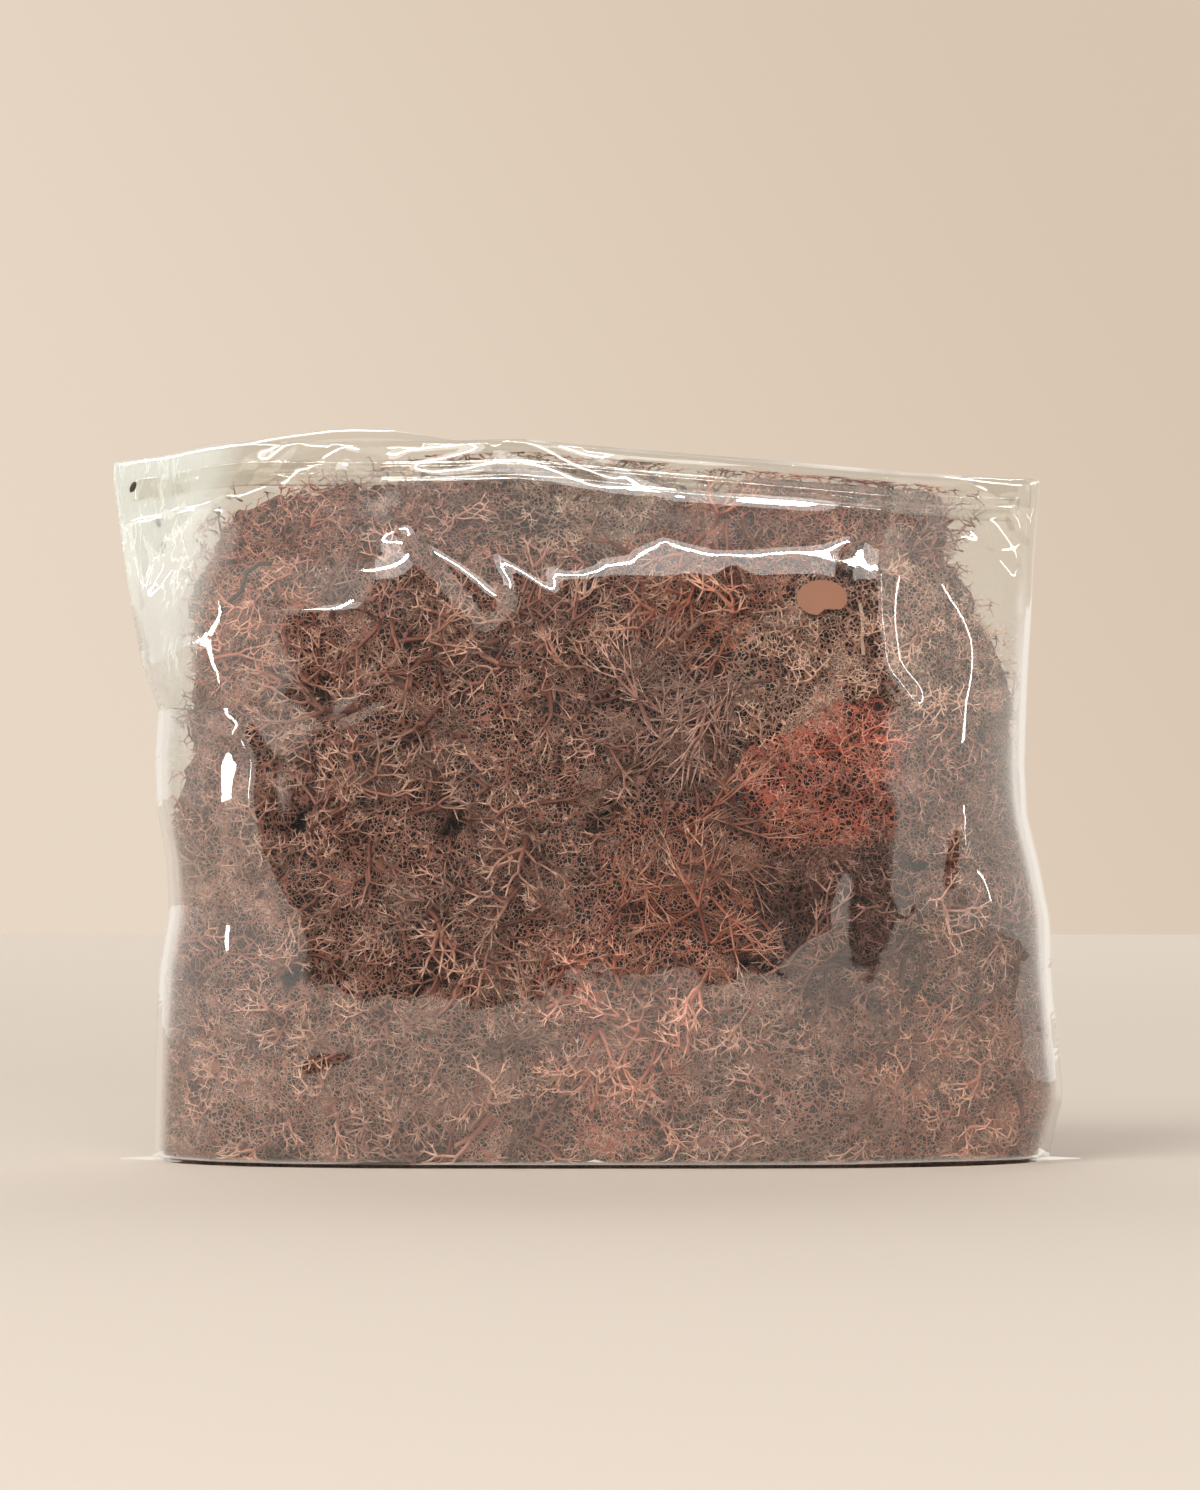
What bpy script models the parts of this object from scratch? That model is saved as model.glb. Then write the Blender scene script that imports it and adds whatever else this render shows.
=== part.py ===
"""A clear press-to-close pouch packed full of dyed reindeer moss.

Metres, +Z up. The pouch stands on z = 0 with its broad front facing -Y, and the origin is under the
middle of its outline. Each moss tuft is one plant, pushed against its neighbours and the film.
"""

import math

import bmesh
import bpy
import numpy as np
from mathutils import Vector, noise

# Pouch: outlines seen from the front, as (height, x) for the sides and (x, height) for the top
POUCH_LEFT = [(0.0, -0.1086), (0.026, -0.1081), (0.048, -0.1069), (0.063, -0.1040), (0.081, -0.1061),
              (0.091, -0.1086), (0.112, -0.1069), (0.120, -0.1111), (0.139, -0.1145), (0.171, -0.1189)]
POUCH_RIGHT = [(0.0, 0.1107), (0.017, 0.1147), (0.040, 0.1118), (0.066, 0.1111), (0.079, 0.1060),
               (0.098, 0.1049), (0.116, 0.1056), (0.144, 0.1071), (0.167, 0.1088)]
POUCH_TOP = [(-0.1189, 0.1708), (-0.1017, 0.1731), (-0.0914, 0.1760), (-0.0380, 0.1758), (-0.0208, 0.1765),
             (0.0081, 0.1738), (0.0343, 0.1718), (0.0758, 0.1681), (0.1088, 0.1669)]
BACK_LIP = [(-0.0824, 0.0), (-0.0680, 0.0033), (-0.0505, 0.0033), (-0.0309, 0.0)]

# Moss: the same outlines of the packed clump
MOSS_LEFT = [(0.0, -0.1064), (0.028, -0.1059), (0.049, -0.1044), (0.063, -0.1015), (0.081, -0.1035),
             (0.092, -0.0987), (0.126, -0.0980), (0.139, -0.0967), (0.147, -0.0931), (0.158, -0.0880),
             (0.177, -0.0767)]
MOSS_RIGHT = [(0.0, 0.1074), (0.018, 0.1120), (0.041, 0.1095), (0.066, 0.1087), (0.079, 0.1033),
              (0.100, 0.1023), (0.117, 0.1013), (0.128, 0.0967), (0.139, 0.0900), (0.145, 0.0849),
              (0.158, 0.0898), (0.164, 0.0870), (0.177, 0.0818)]
MOSS_TOP = [(-0.1146, 0.1409), (-0.0933, 0.1475), (-0.0882, 0.1573), (-0.0704, 0.1643), (-0.0462, 0.1665),
            (-0.0217, 0.1684), (-0.0132, 0.1739), (0.0132, 0.1729), (0.0295, 0.1634), (0.0372, 0.1688),
            (0.0563, 0.1704), (0.0816, 0.1667), (0.0872, 0.1640), (0.1023, 0.1512)]
HALF_DEPTH = [(0.0, 0.0340), (0.020, 0.0365), (0.060, 0.0375), (0.110, 0.0355), (0.142, 0.0305),
              (0.151, 0.0240), (0.159, 0.0130), (0.164, 0.0075), (0.182, 0.0060)]
ROUNDNESS = 4.0          # of the clump seen from above: 2 is an ellipse, more is squarer
TOP_ROUNDING = 0.010     # height over which a tuft's top closes
MOSS_FLOOR = 0.0012

# Film
FILM = 0.0004            # thickness, with the folds' own thickness
FILM_LOWEST = 0.0007
SLACK = 0.0028           # room between the packed moss and the film
SIDE_ROOM = 0.0120       # how far the film bridges past the moss before it lies flat
SIDE_SLOPE = 0.15        # how much gentler its fall is where it has all that room
TOP_ROOM, TOP_SLOPE = 0.0120, 0.0180
SEAM_GAP = 0.0012        # from the middle plane to each web where the pouch is flat
TRACK_ROOM = 0.0012      # more of it beside the zip
FILM_COLUMNS, FILM_ROWS = 24, 16
FILM_CROWDING = 1.5      # rows lie closer together towards the mouth
EAR_REACH = 0.0082       # how far the gusset's welded ends stick out past the sides
EAR_ROOT, EAR_TIP = 0.0050, 0.0012

# Zip
ZIP_DROP = 0.0075        # below the mouth's edge
ZIP_HEIGHT = 0.0050
ZIP_THICKNESS = 0.0008
ZIP_RIB = 0.0003
ZIP_CLEARANCE = 0.0006   # to the web, whose facets cut across its curve
ZIP_ROWS = 4

# Tufts: name, and the middle of the tuft as x and height in millimetres
TOP_TUFTS = [("left_shoulder", -80, 149), ("top_middle", -38, 155), ("pale_top", -7, 160),
             ("top_right_cap", 47, 160), ("cap_end", 78, 155)]
FRONT_TUFTS = [("upper_left", -85, 126), ("left_slope", -50, 132), ("upper_middle", -16, 130),
               ("upper_right", 28, 137), ("pale_edge", 84, 126), ("left", -87, 100),
               ("left_middle", -49, 99), ("middle", -16, 98), ("brown_middle", 16, 104),
               ("tan", 47, 121), ("red", 56, 95), ("right", 89, 92), ("low_left", -91, 66),
               ("low_left_middle", -54, 67), ("low_middle", -18, 67), ("low_right_middle", 20, 70),
               ("dark_hollow", 60, 60), ("low_right", 94, 59), ("base_left", -92, 27),
               ("base_left_middle", -59, 25), ("base_middle", -25, 25), ("pink", 8, 38),
               ("base_right_middle", 40, 23), ("base_right", 83, 23)]
BACK_X = (-78, -26, 26, 78)
BACK_Z = (42, 112)
TOP_Y, FRONT_Y, BACK_Y = -0.002, -0.018, 0.019
TUFT_GAP = 0.0005
TUFT_SUBDIVISIONS = 3
TUFT_LUMPS, LUMP_SIZE = 0.10, 0.016
CELL_SHARPNESS = 9.0     # how squarely a tuft meets its neighbours
REACH = 0.120            # further than any tuft grows

# Loose bits, as x and height in millimetres along the front of the clump
BIT_STANDOFF = 0.0013
DARK_STEM = [(-96.0, 130.5), (-91.0, 134.5), (-86.0, 138.7), (-84.5, 143.5), (-81.5, 145.5), (-78.5, 145.5)]
DARK_STEM_RADIUS = 0.0005
THIN_TWIG = [(-92.2, 160.0), (-92.4, 157.0), (-91.9, 154.4), (-91.0, 151.7)]
THIN_TWIG_RADIUS = 0.0003
PALE_STALK = [(63.6, 135.7), (64.2, 131.0), (63.9, 127.0), (64.3, 123.3)]
PALE_STALK_RADIUS = 0.0005
LEAF_MIDDLE, LEAF_SIZE = (54.3, 137.0), (0.0062, 0.0044)
LEAF_THICKNESS = 0.0004
CRUMBS = [(-113.5, 165.0, 25), (-107.4, 156.4, -20), (-106.1, 150.2, 10)]   # with a turn in degrees
CRUMB_SIZE = (0.0007, 0.0004, 0.0015)

COLOURS = {
    "moss_brown": (0.30, 0.13, 0.09), "moss_pale": (0.44, 0.29, 0.22), "moss_red": (0.42, 0.11, 0.07),
    "moss_pink": (0.47, 0.20, 0.14), "moss_dark": (0.14, 0.07, 0.055), "film": (0.86, 0.87, 0.80),
    "dead_stem": (0.05, 0.035, 0.03), "dry_leaf": (0.37, 0.17, 0.105), "straw": (0.48, 0.33, 0.25),
}
SPECIAL_TUFTS = {"pale_top": "moss_pale", "tan": "moss_pale", "pale_edge": "moss_pale", "red": "moss_red",
                 "pink": "moss_pink", "dark_hollow": "moss_dark"}


def along(points, at):
    """The value at a place on a line through hand-chosen points."""
    places, values = zip(*points)
    return np.interp(at, places, values)


def squared_off(share, power=0.5):
    """A superellipse's half-depth, from 1 in the middle to 0 at its ends."""
    return np.clip(1.0 - np.abs(share) ** ROUNDNESS, 0.0, 1.0) ** power


def moss_half_depth(x, z):
    """How far the packed clump reaches in front of and behind the middle plane."""
    left, right = along(MOSS_LEFT, z), along(MOSS_RIGHT, z)
    share = (x - (left + right) / 2) / ((right - left) / 2)
    top = np.sqrt(np.clip((along(MOSS_TOP, x) - z) / TOP_ROUNDING, 0.0, 1.0))
    return along(HALF_DEPTH, z) * squared_off(share) * top


def zip_height(x):
    """The height of the zip's middle line."""
    return along(POUCH_TOP, x) - ZIP_DROP


def film_half_depth(x, z):
    """How far each web lies from the middle plane: over the moss, or nearly flat past it."""
    left = np.maximum(along(MOSS_LEFT, z) - SIDE_ROOM, along(POUCH_LEFT, z))
    right = np.minimum(along(MOSS_RIGHT, z) + SIDE_ROOM, along(POUCH_RIGHT, z))
    share = (x - (left + right) / 2) / ((right - left) / 2)
    side_room = np.where(share < 0, along(MOSS_LEFT, z) - left, right - along(MOSS_RIGHT, z))
    power = 0.5 + SIDE_SLOPE * side_room / SIDE_ROOM
    top = np.clip((along(MOSS_TOP, x) + TOP_ROOM - z) / TOP_SLOPE, 0.0, 1.0)
    room = TRACK_ROOM * np.exp(-(((z - zip_height(x)) / ZIP_HEIGHT) ** 2))
    return SEAM_GAP + room + (along(HALF_DEPTH, z) + SLACK) * squared_off(share, power) * top


def inside_film(x, z, inset):
    """A point that lies squarely inside the back web by the inset, as x, y and z."""
    step = 0.0005
    by_x = float(film_half_depth(x + step, z) - film_half_depth(x - step, z)) / (2 * step)
    by_z = float(film_half_depth(x, z + step) - film_half_depth(x, z - step)) / (2 * step)
    depth = inset / math.sqrt(1.0 + by_x**2 + by_z**2)
    return x + by_x * depth, float(film_half_depth(x, z)) - depth, z + by_z * depth


def material(name):
    """A Principled material with one of the part's colours."""
    if name in bpy.data.materials:
        return bpy.data.materials[name]
    made = bpy.data.materials.new(name)
    made.use_nodes = True
    shader = made.node_tree.nodes["Principled BSDF"]
    shader.inputs["Base Color"].default_value = (*COLOURS[name], 1.0)
    shader.inputs["Roughness"].default_value = 0.12 if name == "film" else 0.85
    shader.inputs["Metallic"].default_value = 0.0
    if name == "film":
        shader.inputs["Alpha"].default_value = 0.3
    return made


def place_object(name, data, finish):
    """Adds the object to the scene with its own material."""
    made = bpy.data.objects.new(name, data)
    bpy.context.scene.collection.objects.link(made)
    data.materials.append(material(finish))
    return made


def object_from(bm, name, finish, smooth=True):
    """Turns a bmesh into an object."""
    bmesh.ops.recalc_face_normals(bm, faces=bm.faces[:])
    mesh = bpy.data.meshes.new(name)
    bm.to_mesh(mesh)
    bm.free()
    if smooth:
        mesh.shade_smooth()
        mesh.set_sharp_from_angle(angle=math.radians(50))
    return place_object(name, mesh, finish)


def web(name, place, columns, rows, thickness, finish):
    """A thin sheet: place(across, up) gives each point, with both running from 0 to 1."""
    bm = bmesh.new()
    bmesh.ops.create_grid(bm, x_segments=columns, y_segments=rows, size=0.5)
    for vertex in bm.verts:
        vertex.co = Vector(place(vertex.co.x + 0.5, vertex.co.y + 0.5))
    made = object_from(bm, name, finish)
    shell = made.modifiers.new("Thickness", "SOLIDIFY")
    shell.thickness = thickness
    shell.offset = 0.0
    return made


def pouch_web(name, side, lip):
    """The front (side -1) or back (side 1) web, with extra height at the mouth from lip."""
    def place(across, up):
        spread = 0.5 - 0.5 * math.cos(math.pi * across)
        up = 1.0 - (1.0 - up) ** FILM_CROWDING
        guess = POUCH_LEFT[-1][1] + spread * (POUCH_RIGHT[-1][1] - POUCH_LEFT[-1][1])
        top = float(along(POUCH_TOP, guess) + along(lip, guess))
        z = FILM_LOWEST + up * (top - FILM_LOWEST)
        left, right = along(POUCH_LEFT, z), along(POUCH_RIGHT, z)
        x = float(left + spread * (right - left))
        return x, side * float(film_half_depth(x, z)), z
    return web(name, place, FILM_COLUMNS, FILM_ROWS, FILM, "film")


def gusset_web():
    """The flat bottom web that the pouch stands on, with an ear at each end."""
    bm = bmesh.new()
    ring = []
    steps = FILM_COLUMNS
    for side in (-1, 1):
        for step in range(1, steps):
            turn = math.pi * (step / steps if side < 0 else 1.0 - step / steps)
            x = POUCH_LEFT[0][1] + (0.5 - 0.5 * math.cos(turn)) * (POUCH_RIGHT[0][1] - POUCH_LEFT[0][1])
            depth = max(float(film_half_depth(x, FILM_LOWEST)), EAR_ROOT)
            ring.append((x, side * depth))
        end, way = (POUCH_RIGHT[0][1], 1) if side < 0 else (POUCH_LEFT[0][1], -1)
        ring += [(end + way * EAR_REACH, side * EAR_TIP), (end + way * EAR_REACH, -side * EAR_TIP)]
    face = bm.faces.new([bm.verts.new((x, y, 0.0)) for x, y in ring])
    raised = bmesh.ops.extrude_face_region(bm, geom=[face])
    for vertex in (item for item in raised["geom"] if isinstance(item, bmesh.types.BMVert)):
        vertex.co.z = FILM
    return object_from(bm, "bottom_gusset", "film", smooth=False)


def zip_track(name, side):
    """One half of the zip, a ribbed strip just inside its web."""
    def place(across, up):
        # The stations are the web's own columns, so that both turn at the same places
        column = 1 + across * (FILM_COLUMNS - 2)
        spread = 0.5 - 0.5 * math.cos(math.pi * column / FILM_COLUMNS)
        left, right = POUCH_LEFT[-1][1], POUCH_RIGHT[-1][1]
        x = left + spread * (right - left)
        z = float(zip_height(x)) + (up - 0.5) * ZIP_HEIGHT
        rib = ZIP_RIB if 0.4 < up < 0.6 else 0.0
        x, y, z = inside_film(x, z, FILM / 2 + ZIP_CLEARANCE + ZIP_THICKNESS / 2 + rib)
        return x, side * y, z
    return web(name, place, FILM_COLUMNS - 2, ZIP_ROWS, ZIP_THICKNESS, "film")


def reach_in_clump(seed, ways):
    """For each direction from the seed, how far it runs before it leaves the clump."""
    steps = np.linspace(0.0, REACH, 241)
    spots = seed + ways[:, None, :] * steps[None, :, None]
    room = moss_half_depth(spots[..., 0], spots[..., 2]) - np.abs(spots[..., 1])
    outside = (room < 0.0) | (spots[..., 2] < MOSS_FLOOR)
    first = np.where(outside.any(axis=1), outside.argmax(axis=1), len(steps) - 1)
    return steps[np.maximum(first - 1, 0)]


def tuft(name, seed, others, finish):
    """One plant: a lumpy round solid that keeps to its own share of the clump."""
    bm = bmesh.new()
    bmesh.ops.create_icosphere(bm, subdivisions=TUFT_SUBDIVISIONS, radius=1.0)
    ways = np.array([vertex.co.normalized() for vertex in bm.verts])
    apart = others - seed
    distance = np.linalg.norm(apart, axis=1)
    slope = np.maximum(ways @ (apart / distance[:, None]).T, 1e-4)
    limits = (distance / 2 - TUFT_GAP)[None, :] / slope
    limits = np.concatenate([limits, reach_in_clump(seed, ways)[:, None]], axis=1)
    reach = (limits ** -CELL_SHARPNESS).sum(axis=1) ** (-1.0 / CELL_SHARPNESS)
    for vertex, way, length in zip(bm.verts, ways, reach):
        spot = Vector(seed + way * length)
        lump = TUFT_LUMPS * (0.5 + 0.5 * noise.noise(spot / LUMP_SIZE))
        vertex.co = Vector(seed + way * length * (1.0 - lump))
    return object_from(bm, name, finish)


def on_clump(x_mm, z_mm, standoff=BIT_STANDOFF):
    """A point just in front of the clump's face."""
    x, z = x_mm / 1000, z_mm / 1000
    return x, -(float(moss_half_depth(x, z)) + standoff), z


def stalk(name, route, radius, finish, depth=None):
    """A round stalk along a route on the clump's face, or at one depth."""
    curve = bpy.data.curves.new(name, "CURVE")
    curve.dimensions = "3D"
    curve.bevel_depth = radius
    curve.bevel_resolution = 1
    curve.use_fill_caps = True
    spline = curve.splines.new("POLY")
    spline.points.add(len(route) - 1)
    for point, (x_mm, z_mm) in zip(spline.points, route):
        x, y, z = on_clump(x_mm, z_mm)
        point.co = (x, y if depth is None else depth, z, 1.0)
    return place_object(name, curve, finish)


def leaf_scrap():
    """A smooth scrap of dry leaf with a notch in its lower edge, lying on the clump."""
    bm = bmesh.new()
    corners = 18
    for step in range(corners):
        turn = 2 * math.pi * step / corners
        notch = 1.0 - 0.45 * math.exp(-((turn - 1.6 * math.pi) / 0.32) ** 2)
        across = LEAF_MIDDLE[0] + 1000 * LEAF_SIZE[0] * notch * math.cos(turn)
        up = LEAF_MIDDLE[1] + 1000 * LEAF_SIZE[1] * notch * math.sin(turn)
        bm.verts.new(on_clump(across, up))
    bm.faces.new(bm.verts[:])
    made = object_from(bm, "leaf_scrap", "dry_leaf", smooth=False)
    shell = made.modifiers.new("Thickness", "SOLIDIFY")
    shell.thickness = LEAF_THICKNESS
    shell.offset = 0.0
    return made


def crumb(name, x_mm, z_mm, turn):
    """A dark crumb of moss between the two webs in the empty corner."""
    bm = bmesh.new()
    bmesh.ops.create_icosphere(bm, subdivisions=2, radius=1.0)
    bmesh.ops.scale(bm, vec=CRUMB_SIZE, verts=bm.verts[:])
    made = object_from(bm, name, "dead_stem")
    made.location = (x_mm / 1000, 0.0, z_mm / 1000)
    made.rotation_euler = (0.0, math.radians(turn), 0.0)
    return made


def main():
    """Clears the scene and builds every piece."""
    for old in list(bpy.data.objects):
        bpy.data.objects.remove(old, do_unlink=True)
    pouch_web("front_film", -1, [(0.0, 0.0)])
    pouch_web("back_film", 1, BACK_LIP)
    gusset_web()
    zip_track("zip_track_front", -1)
    zip_track("zip_track_back", 1)

    rows = [(TOP_TUFTS, TOP_Y), (FRONT_TUFTS, FRONT_Y),
            ([(f"back_{row}_{column}", x, z) for row, z in enumerate(BACK_Z, 1)
              for column, x in enumerate(BACK_X, 1)], BACK_Y)]
    tufts = [(name, (x / 1000, y, z / 1000)) for group, y in rows for name, x, z in group]
    seeds = np.array([seed for _, seed in tufts])
    for number, (name, seed) in enumerate(tufts):
        others = np.delete(seeds, number, axis=0)
        finish = SPECIAL_TUFTS.get(name, "moss_brown")
        tuft(name + "_tuft", np.array(seed), others, finish)

    stalk("dark_stem", DARK_STEM, DARK_STEM_RADIUS, "dead_stem")
    stalk("thin_twig", THIN_TWIG, THIN_TWIG_RADIUS, "dead_stem", depth=-0.002)
    stalk("pale_stalk", PALE_STALK, PALE_STALK_RADIUS, "straw")
    leaf_scrap()
    for number, (x_mm, z_mm, turn) in enumerate(CRUMBS, 1):
        crumb(f"crumb_{number}", x_mm, z_mm, turn)


if __name__ == "__main__":
    main()
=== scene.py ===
"""The looks of a clear press-to-close pouch packed with dyed reindeer moss.

Metres, +Z up. The pouch stands on z = 0 with its broad front towards -Y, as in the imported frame. Each moss
tuft is grown branch by branch on the solid that the frame holds for it, and each web of the film is draped
again with its folds. Pixels are those of the 1200 x 1490 photograph.
"""

from __future__ import annotations

import functools
import logging
import math
from collections.abc import Callable
from dataclasses import dataclass, field
from enum import Enum

import bmesh
import bpy
import numpy as np
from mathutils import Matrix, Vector, noise
from mathutils.bvhtree import BVHTree

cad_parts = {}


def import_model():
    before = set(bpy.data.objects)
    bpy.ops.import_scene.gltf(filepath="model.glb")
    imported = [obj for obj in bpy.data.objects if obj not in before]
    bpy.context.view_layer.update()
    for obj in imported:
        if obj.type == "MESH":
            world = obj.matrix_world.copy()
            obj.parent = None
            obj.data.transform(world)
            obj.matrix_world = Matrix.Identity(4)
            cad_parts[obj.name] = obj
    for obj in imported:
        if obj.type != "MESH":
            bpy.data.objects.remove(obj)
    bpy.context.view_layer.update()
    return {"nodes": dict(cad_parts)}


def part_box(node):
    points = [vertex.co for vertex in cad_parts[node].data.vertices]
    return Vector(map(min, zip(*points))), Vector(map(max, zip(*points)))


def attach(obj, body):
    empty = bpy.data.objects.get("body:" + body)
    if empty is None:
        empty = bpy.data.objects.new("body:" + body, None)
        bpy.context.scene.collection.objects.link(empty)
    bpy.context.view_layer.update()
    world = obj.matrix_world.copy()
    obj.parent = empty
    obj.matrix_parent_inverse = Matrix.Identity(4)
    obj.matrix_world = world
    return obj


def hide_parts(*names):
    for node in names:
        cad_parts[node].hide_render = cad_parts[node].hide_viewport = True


LOG = logging.getLogger("moss_pouch")
BODY = "root"
COLOUR_MAP = "OFBake"        # the UV map of the branches: growth across, tone up
BRANCH_SHARE = 0.48          # the map's part for the branches; the inner mass has the rest
MASS_START = 0.52
PIT_DEPTH = 0.00006
# The upper left corner's crumples, and the painted highlights on their creases, fade out here
CORNER_X = (-0.128, -0.116)   # where the upper left corner's crumples fade out, in x less 0.18 z
CORNER_Z = (0.060, 0.120)
NET_DEPTH = 0.00060
Colour = tuple[float, float, float]
Pixel = tuple[float, float]
Span = tuple[float, float]


def smooth_step(value: np.ndarray, low: float, high: float) -> np.ndarray:
    """Returns 0 below low, 1 above high and a smooth rise between them."""
    share = np.clip((value - low) / (high - low), 0.0, 1.0)
    return share * share * (3.0 - 2.0 * share)


def unit(vectors: np.ndarray) -> np.ndarray:
    """Returns the vectors at a length of one."""
    return vectors / np.maximum(np.linalg.norm(vectors, axis=-1, keepdims=True), 1e-12)


def softly_below(value: np.ndarray, limit: np.ndarray, ease: np.ndarray) -> np.ndarray:
    """Keeps values under a limit, which they near along a smooth curve.

    Args:
        value: What is held back.
        limit: The limit for each value.
        ease: How far before the limit the holding back starts.

    Returns:
        The values, each under its limit.
    """
    room = limit - value
    eased = ease * np.exp(np.minimum((room - ease) / ease, 0.0))
    return np.where(room < ease, limit - eased, value)


def triangles_of(node: bpy.types.Object) -> np.ndarray:
    """Returns a node's triangles as an array of their corners."""
    mesh = node.data
    places = np.empty(len(mesh.vertices) * 3)
    mesh.vertices.foreach_get("co", places)
    mesh.calc_loop_triangles()
    corners = np.empty(len(mesh.loop_triangles) * 3, int)
    mesh.loop_triangles.foreach_get("vertices", corners)
    return places.reshape(-1, 3)[corners].reshape(-1, 3, 3)


def tree_of(*nodes: bpy.types.Object) -> BVHTree:
    """Returns one tree of all the nodes' triangles, to cast rays at."""
    corners = np.concatenate([triangles_of(node) for node in nodes]).reshape(-1, 3)
    faces = np.arange(len(corners)).reshape(-1, 3)
    return BVHTree.FromPolygons([Vector(corner) for corner in corners], faces.tolist())


def slice_points(node: bpy.types.Object, axis: int, level: float) -> np.ndarray:
    """Finds where a plane cuts a node.

    Args:
        node: The node that is cut.
        axis: The axis that the plane stands across, as a number from 0 to 2.
        level: The plane's place on that axis.

    Returns:
        The points where the triangles' edges cross the plane.
    """
    corners = triangles_of(node)
    first, second = corners.reshape(-1, 3), np.roll(corners, -1, axis=1).reshape(-1, 3)
    rise = second[:, axis] - first[:, axis]
    share = (level - first[:, axis]) / np.where(np.abs(rise) < 1e-12, np.inf, rise)
    crosses = (share >= 0.0) & (share <= 1.0) & (np.abs(rise) > 1e-12)
    return first[crosses] + share[crosses, None] * (second - first)[crosses]


def add_object(name: str, data: bpy.types.ID) -> bpy.types.Object:
    """Returns a new object in the scene, at the origin."""
    made = bpy.data.objects.new(name, data)
    bpy.context.scene.collection.objects.link(made)
    return made


class Wiring:
    """A short way to place nodes in a tree and to join them."""

    def __init__(self, tree: bpy.types.NodeTree) -> None:
        """Keeps the tree."""
        self.tree = tree

    def add(self, kind: str, inputs: dict | None = None, **settings: object) -> bpy.types.Node:
        """Places a node.

        Args:
            kind: The node's type, without its leading ShaderNode.
            inputs: A value or another node's socket for each input, by its name or number.
            settings: The node's own properties.

        Returns:
            The new node.
        """
        node = self.tree.nodes.new("ShaderNode" + kind)
        for name, value in settings.items():
            setattr(node, name, value)
        for key, value in (inputs or {}).items():
            if isinstance(value, bpy.types.NodeSocket):
                self.tree.links.new(value, node.inputs[key])
            else:
                node.inputs[key].default_value = value
        return node

    def math(self, operation: str, *values: object) -> bpy.types.NodeSocket:
        """Returns the result of a Math node on numbers or sockets."""
        return self.add("Math", dict(enumerate(values)), operation=operation).outputs[0]

    def blend(self, share: object, first: object, second: object, mode: str = "MIX") -> bpy.types.NodeSocket:
        """Returns a colour mixed from two."""
        values = {0: share, 6: first, 7: second}
        return self.add("Mix", values, data_type="RGBA", blend_type=mode).outputs[2]

    def ramp(self, value: object, low: float, high: float, to_low: float = 0.0,
             to_high: float = 1.0) -> bpy.types.NodeSocket:
        """Returns a value smoothly carried from one range to another."""
        values = {"Value": value, "From Min": low, "From Max": high, "To Min": to_low, "To Max": to_high}
        return self.add("MapRange", values, interpolation_type="SMOOTHSTEP").outputs[0]

    def noise(self, place: object, scale: float, detail: float = 3.0, roughness: float = 0.55) -> bpy.types.NodeSocket:
        """Returns the value of a noise pattern."""
        values = {"Vector": place, "Scale": scale, "Detail": detail, "Roughness": roughness}
        return self.add("TexNoise", values).outputs["Fac"]


def new_group(name: str, inputs: dict[str, object], outputs: tuple[str, ...]) -> tuple[Wiring, dict, dict]:
    """Starts a shader node group.

    Args:
        name: The group's name.
        inputs: The default of each input: a number, or a colour's three numbers.
        outputs: The outputs' names; one named Normal is a vector, one named Color a colour.

    Returns:
        The group's wiring, its input sockets by name and its output sockets by name.
    """
    group = bpy.data.node_groups.new(name, "ShaderNodeTree")
    for key, value in inputs.items():
        kind = "NodeSocketFloat" if isinstance(value, float) else "NodeSocketColor"
        socket = group.interface.new_socket(key, in_out="INPUT", socket_type=kind)
        socket.default_value = value if isinstance(value, float) else (*value, 1.0)
    kinds = {"Normal": "NodeSocketVector", "Color": "NodeSocketColor"}
    for key in outputs:
        group.interface.new_socket(key, in_out="OUTPUT", socket_type=kinds.get(key, "NodeSocketFloat"))
    source = group.nodes.new("NodeGroupInput")
    target = group.nodes.new("NodeGroupOutput")
    return Wiring(group), {key: source.outputs[key] for key in inputs}, {key: target.inputs[key] for key in outputs}


def branch_net() -> bpy.types.NodeTree:
    """Builds the group of the net that lies behind the sprigs: stems over an ever finer lace."""
    wiring, given, wanted = new_group("branch_net", {"Scale": 360.0, "Tangle": 0.0014}, ("Lace", "Stems", "Patches"))
    place = wiring.add("TexCoord").outputs["Object"]
    patches = wiring.noise(place, 95.0, 2.0)
    stir = wiring.add("TexNoise", {"Vector": place, "Scale": 380.0, "Detail": 2.0}).outputs["Color"]
    stir = wiring.add("VectorMath", {0: stir, 1: (0.5, 0.5, 0.5)}, operation="SUBTRACT").outputs[0]
    stir = wiring.add("VectorMath", {0: stir, "Scale": given["Tangle"]}, operation="SCALE").outputs[0]
    place = wiring.add("VectorMath", {0: place, 1: stir}, operation="ADD").outputs[0]
    nets = []
    for finer, width in ((1.0, 0.085), (2.4, 0.100), (5.4, 0.20)):
        values = {"Vector": place, "Scale": wiring.math("MULTIPLY", given["Scale"], finer)}
        edge = wiring.add("TexVoronoi", values, feature="DISTANCE_TO_EDGE").outputs["Distance"]
        nets.append(wiring.ramp(edge, 0.02, width, 1.0, 0.0))
    finest = wiring.math("MULTIPLY", nets[2], wiring.ramp(patches, 0.52, 0.68))
    wiring.tree.links.new(wiring.math("MAXIMUM", nets[1], finest), wanted["Lace"])
    wiring.tree.links.new(nets[0], wanted["Stems"])
    wiring.tree.links.new(patches, wanted["Patches"])
    return wiring.tree


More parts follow.
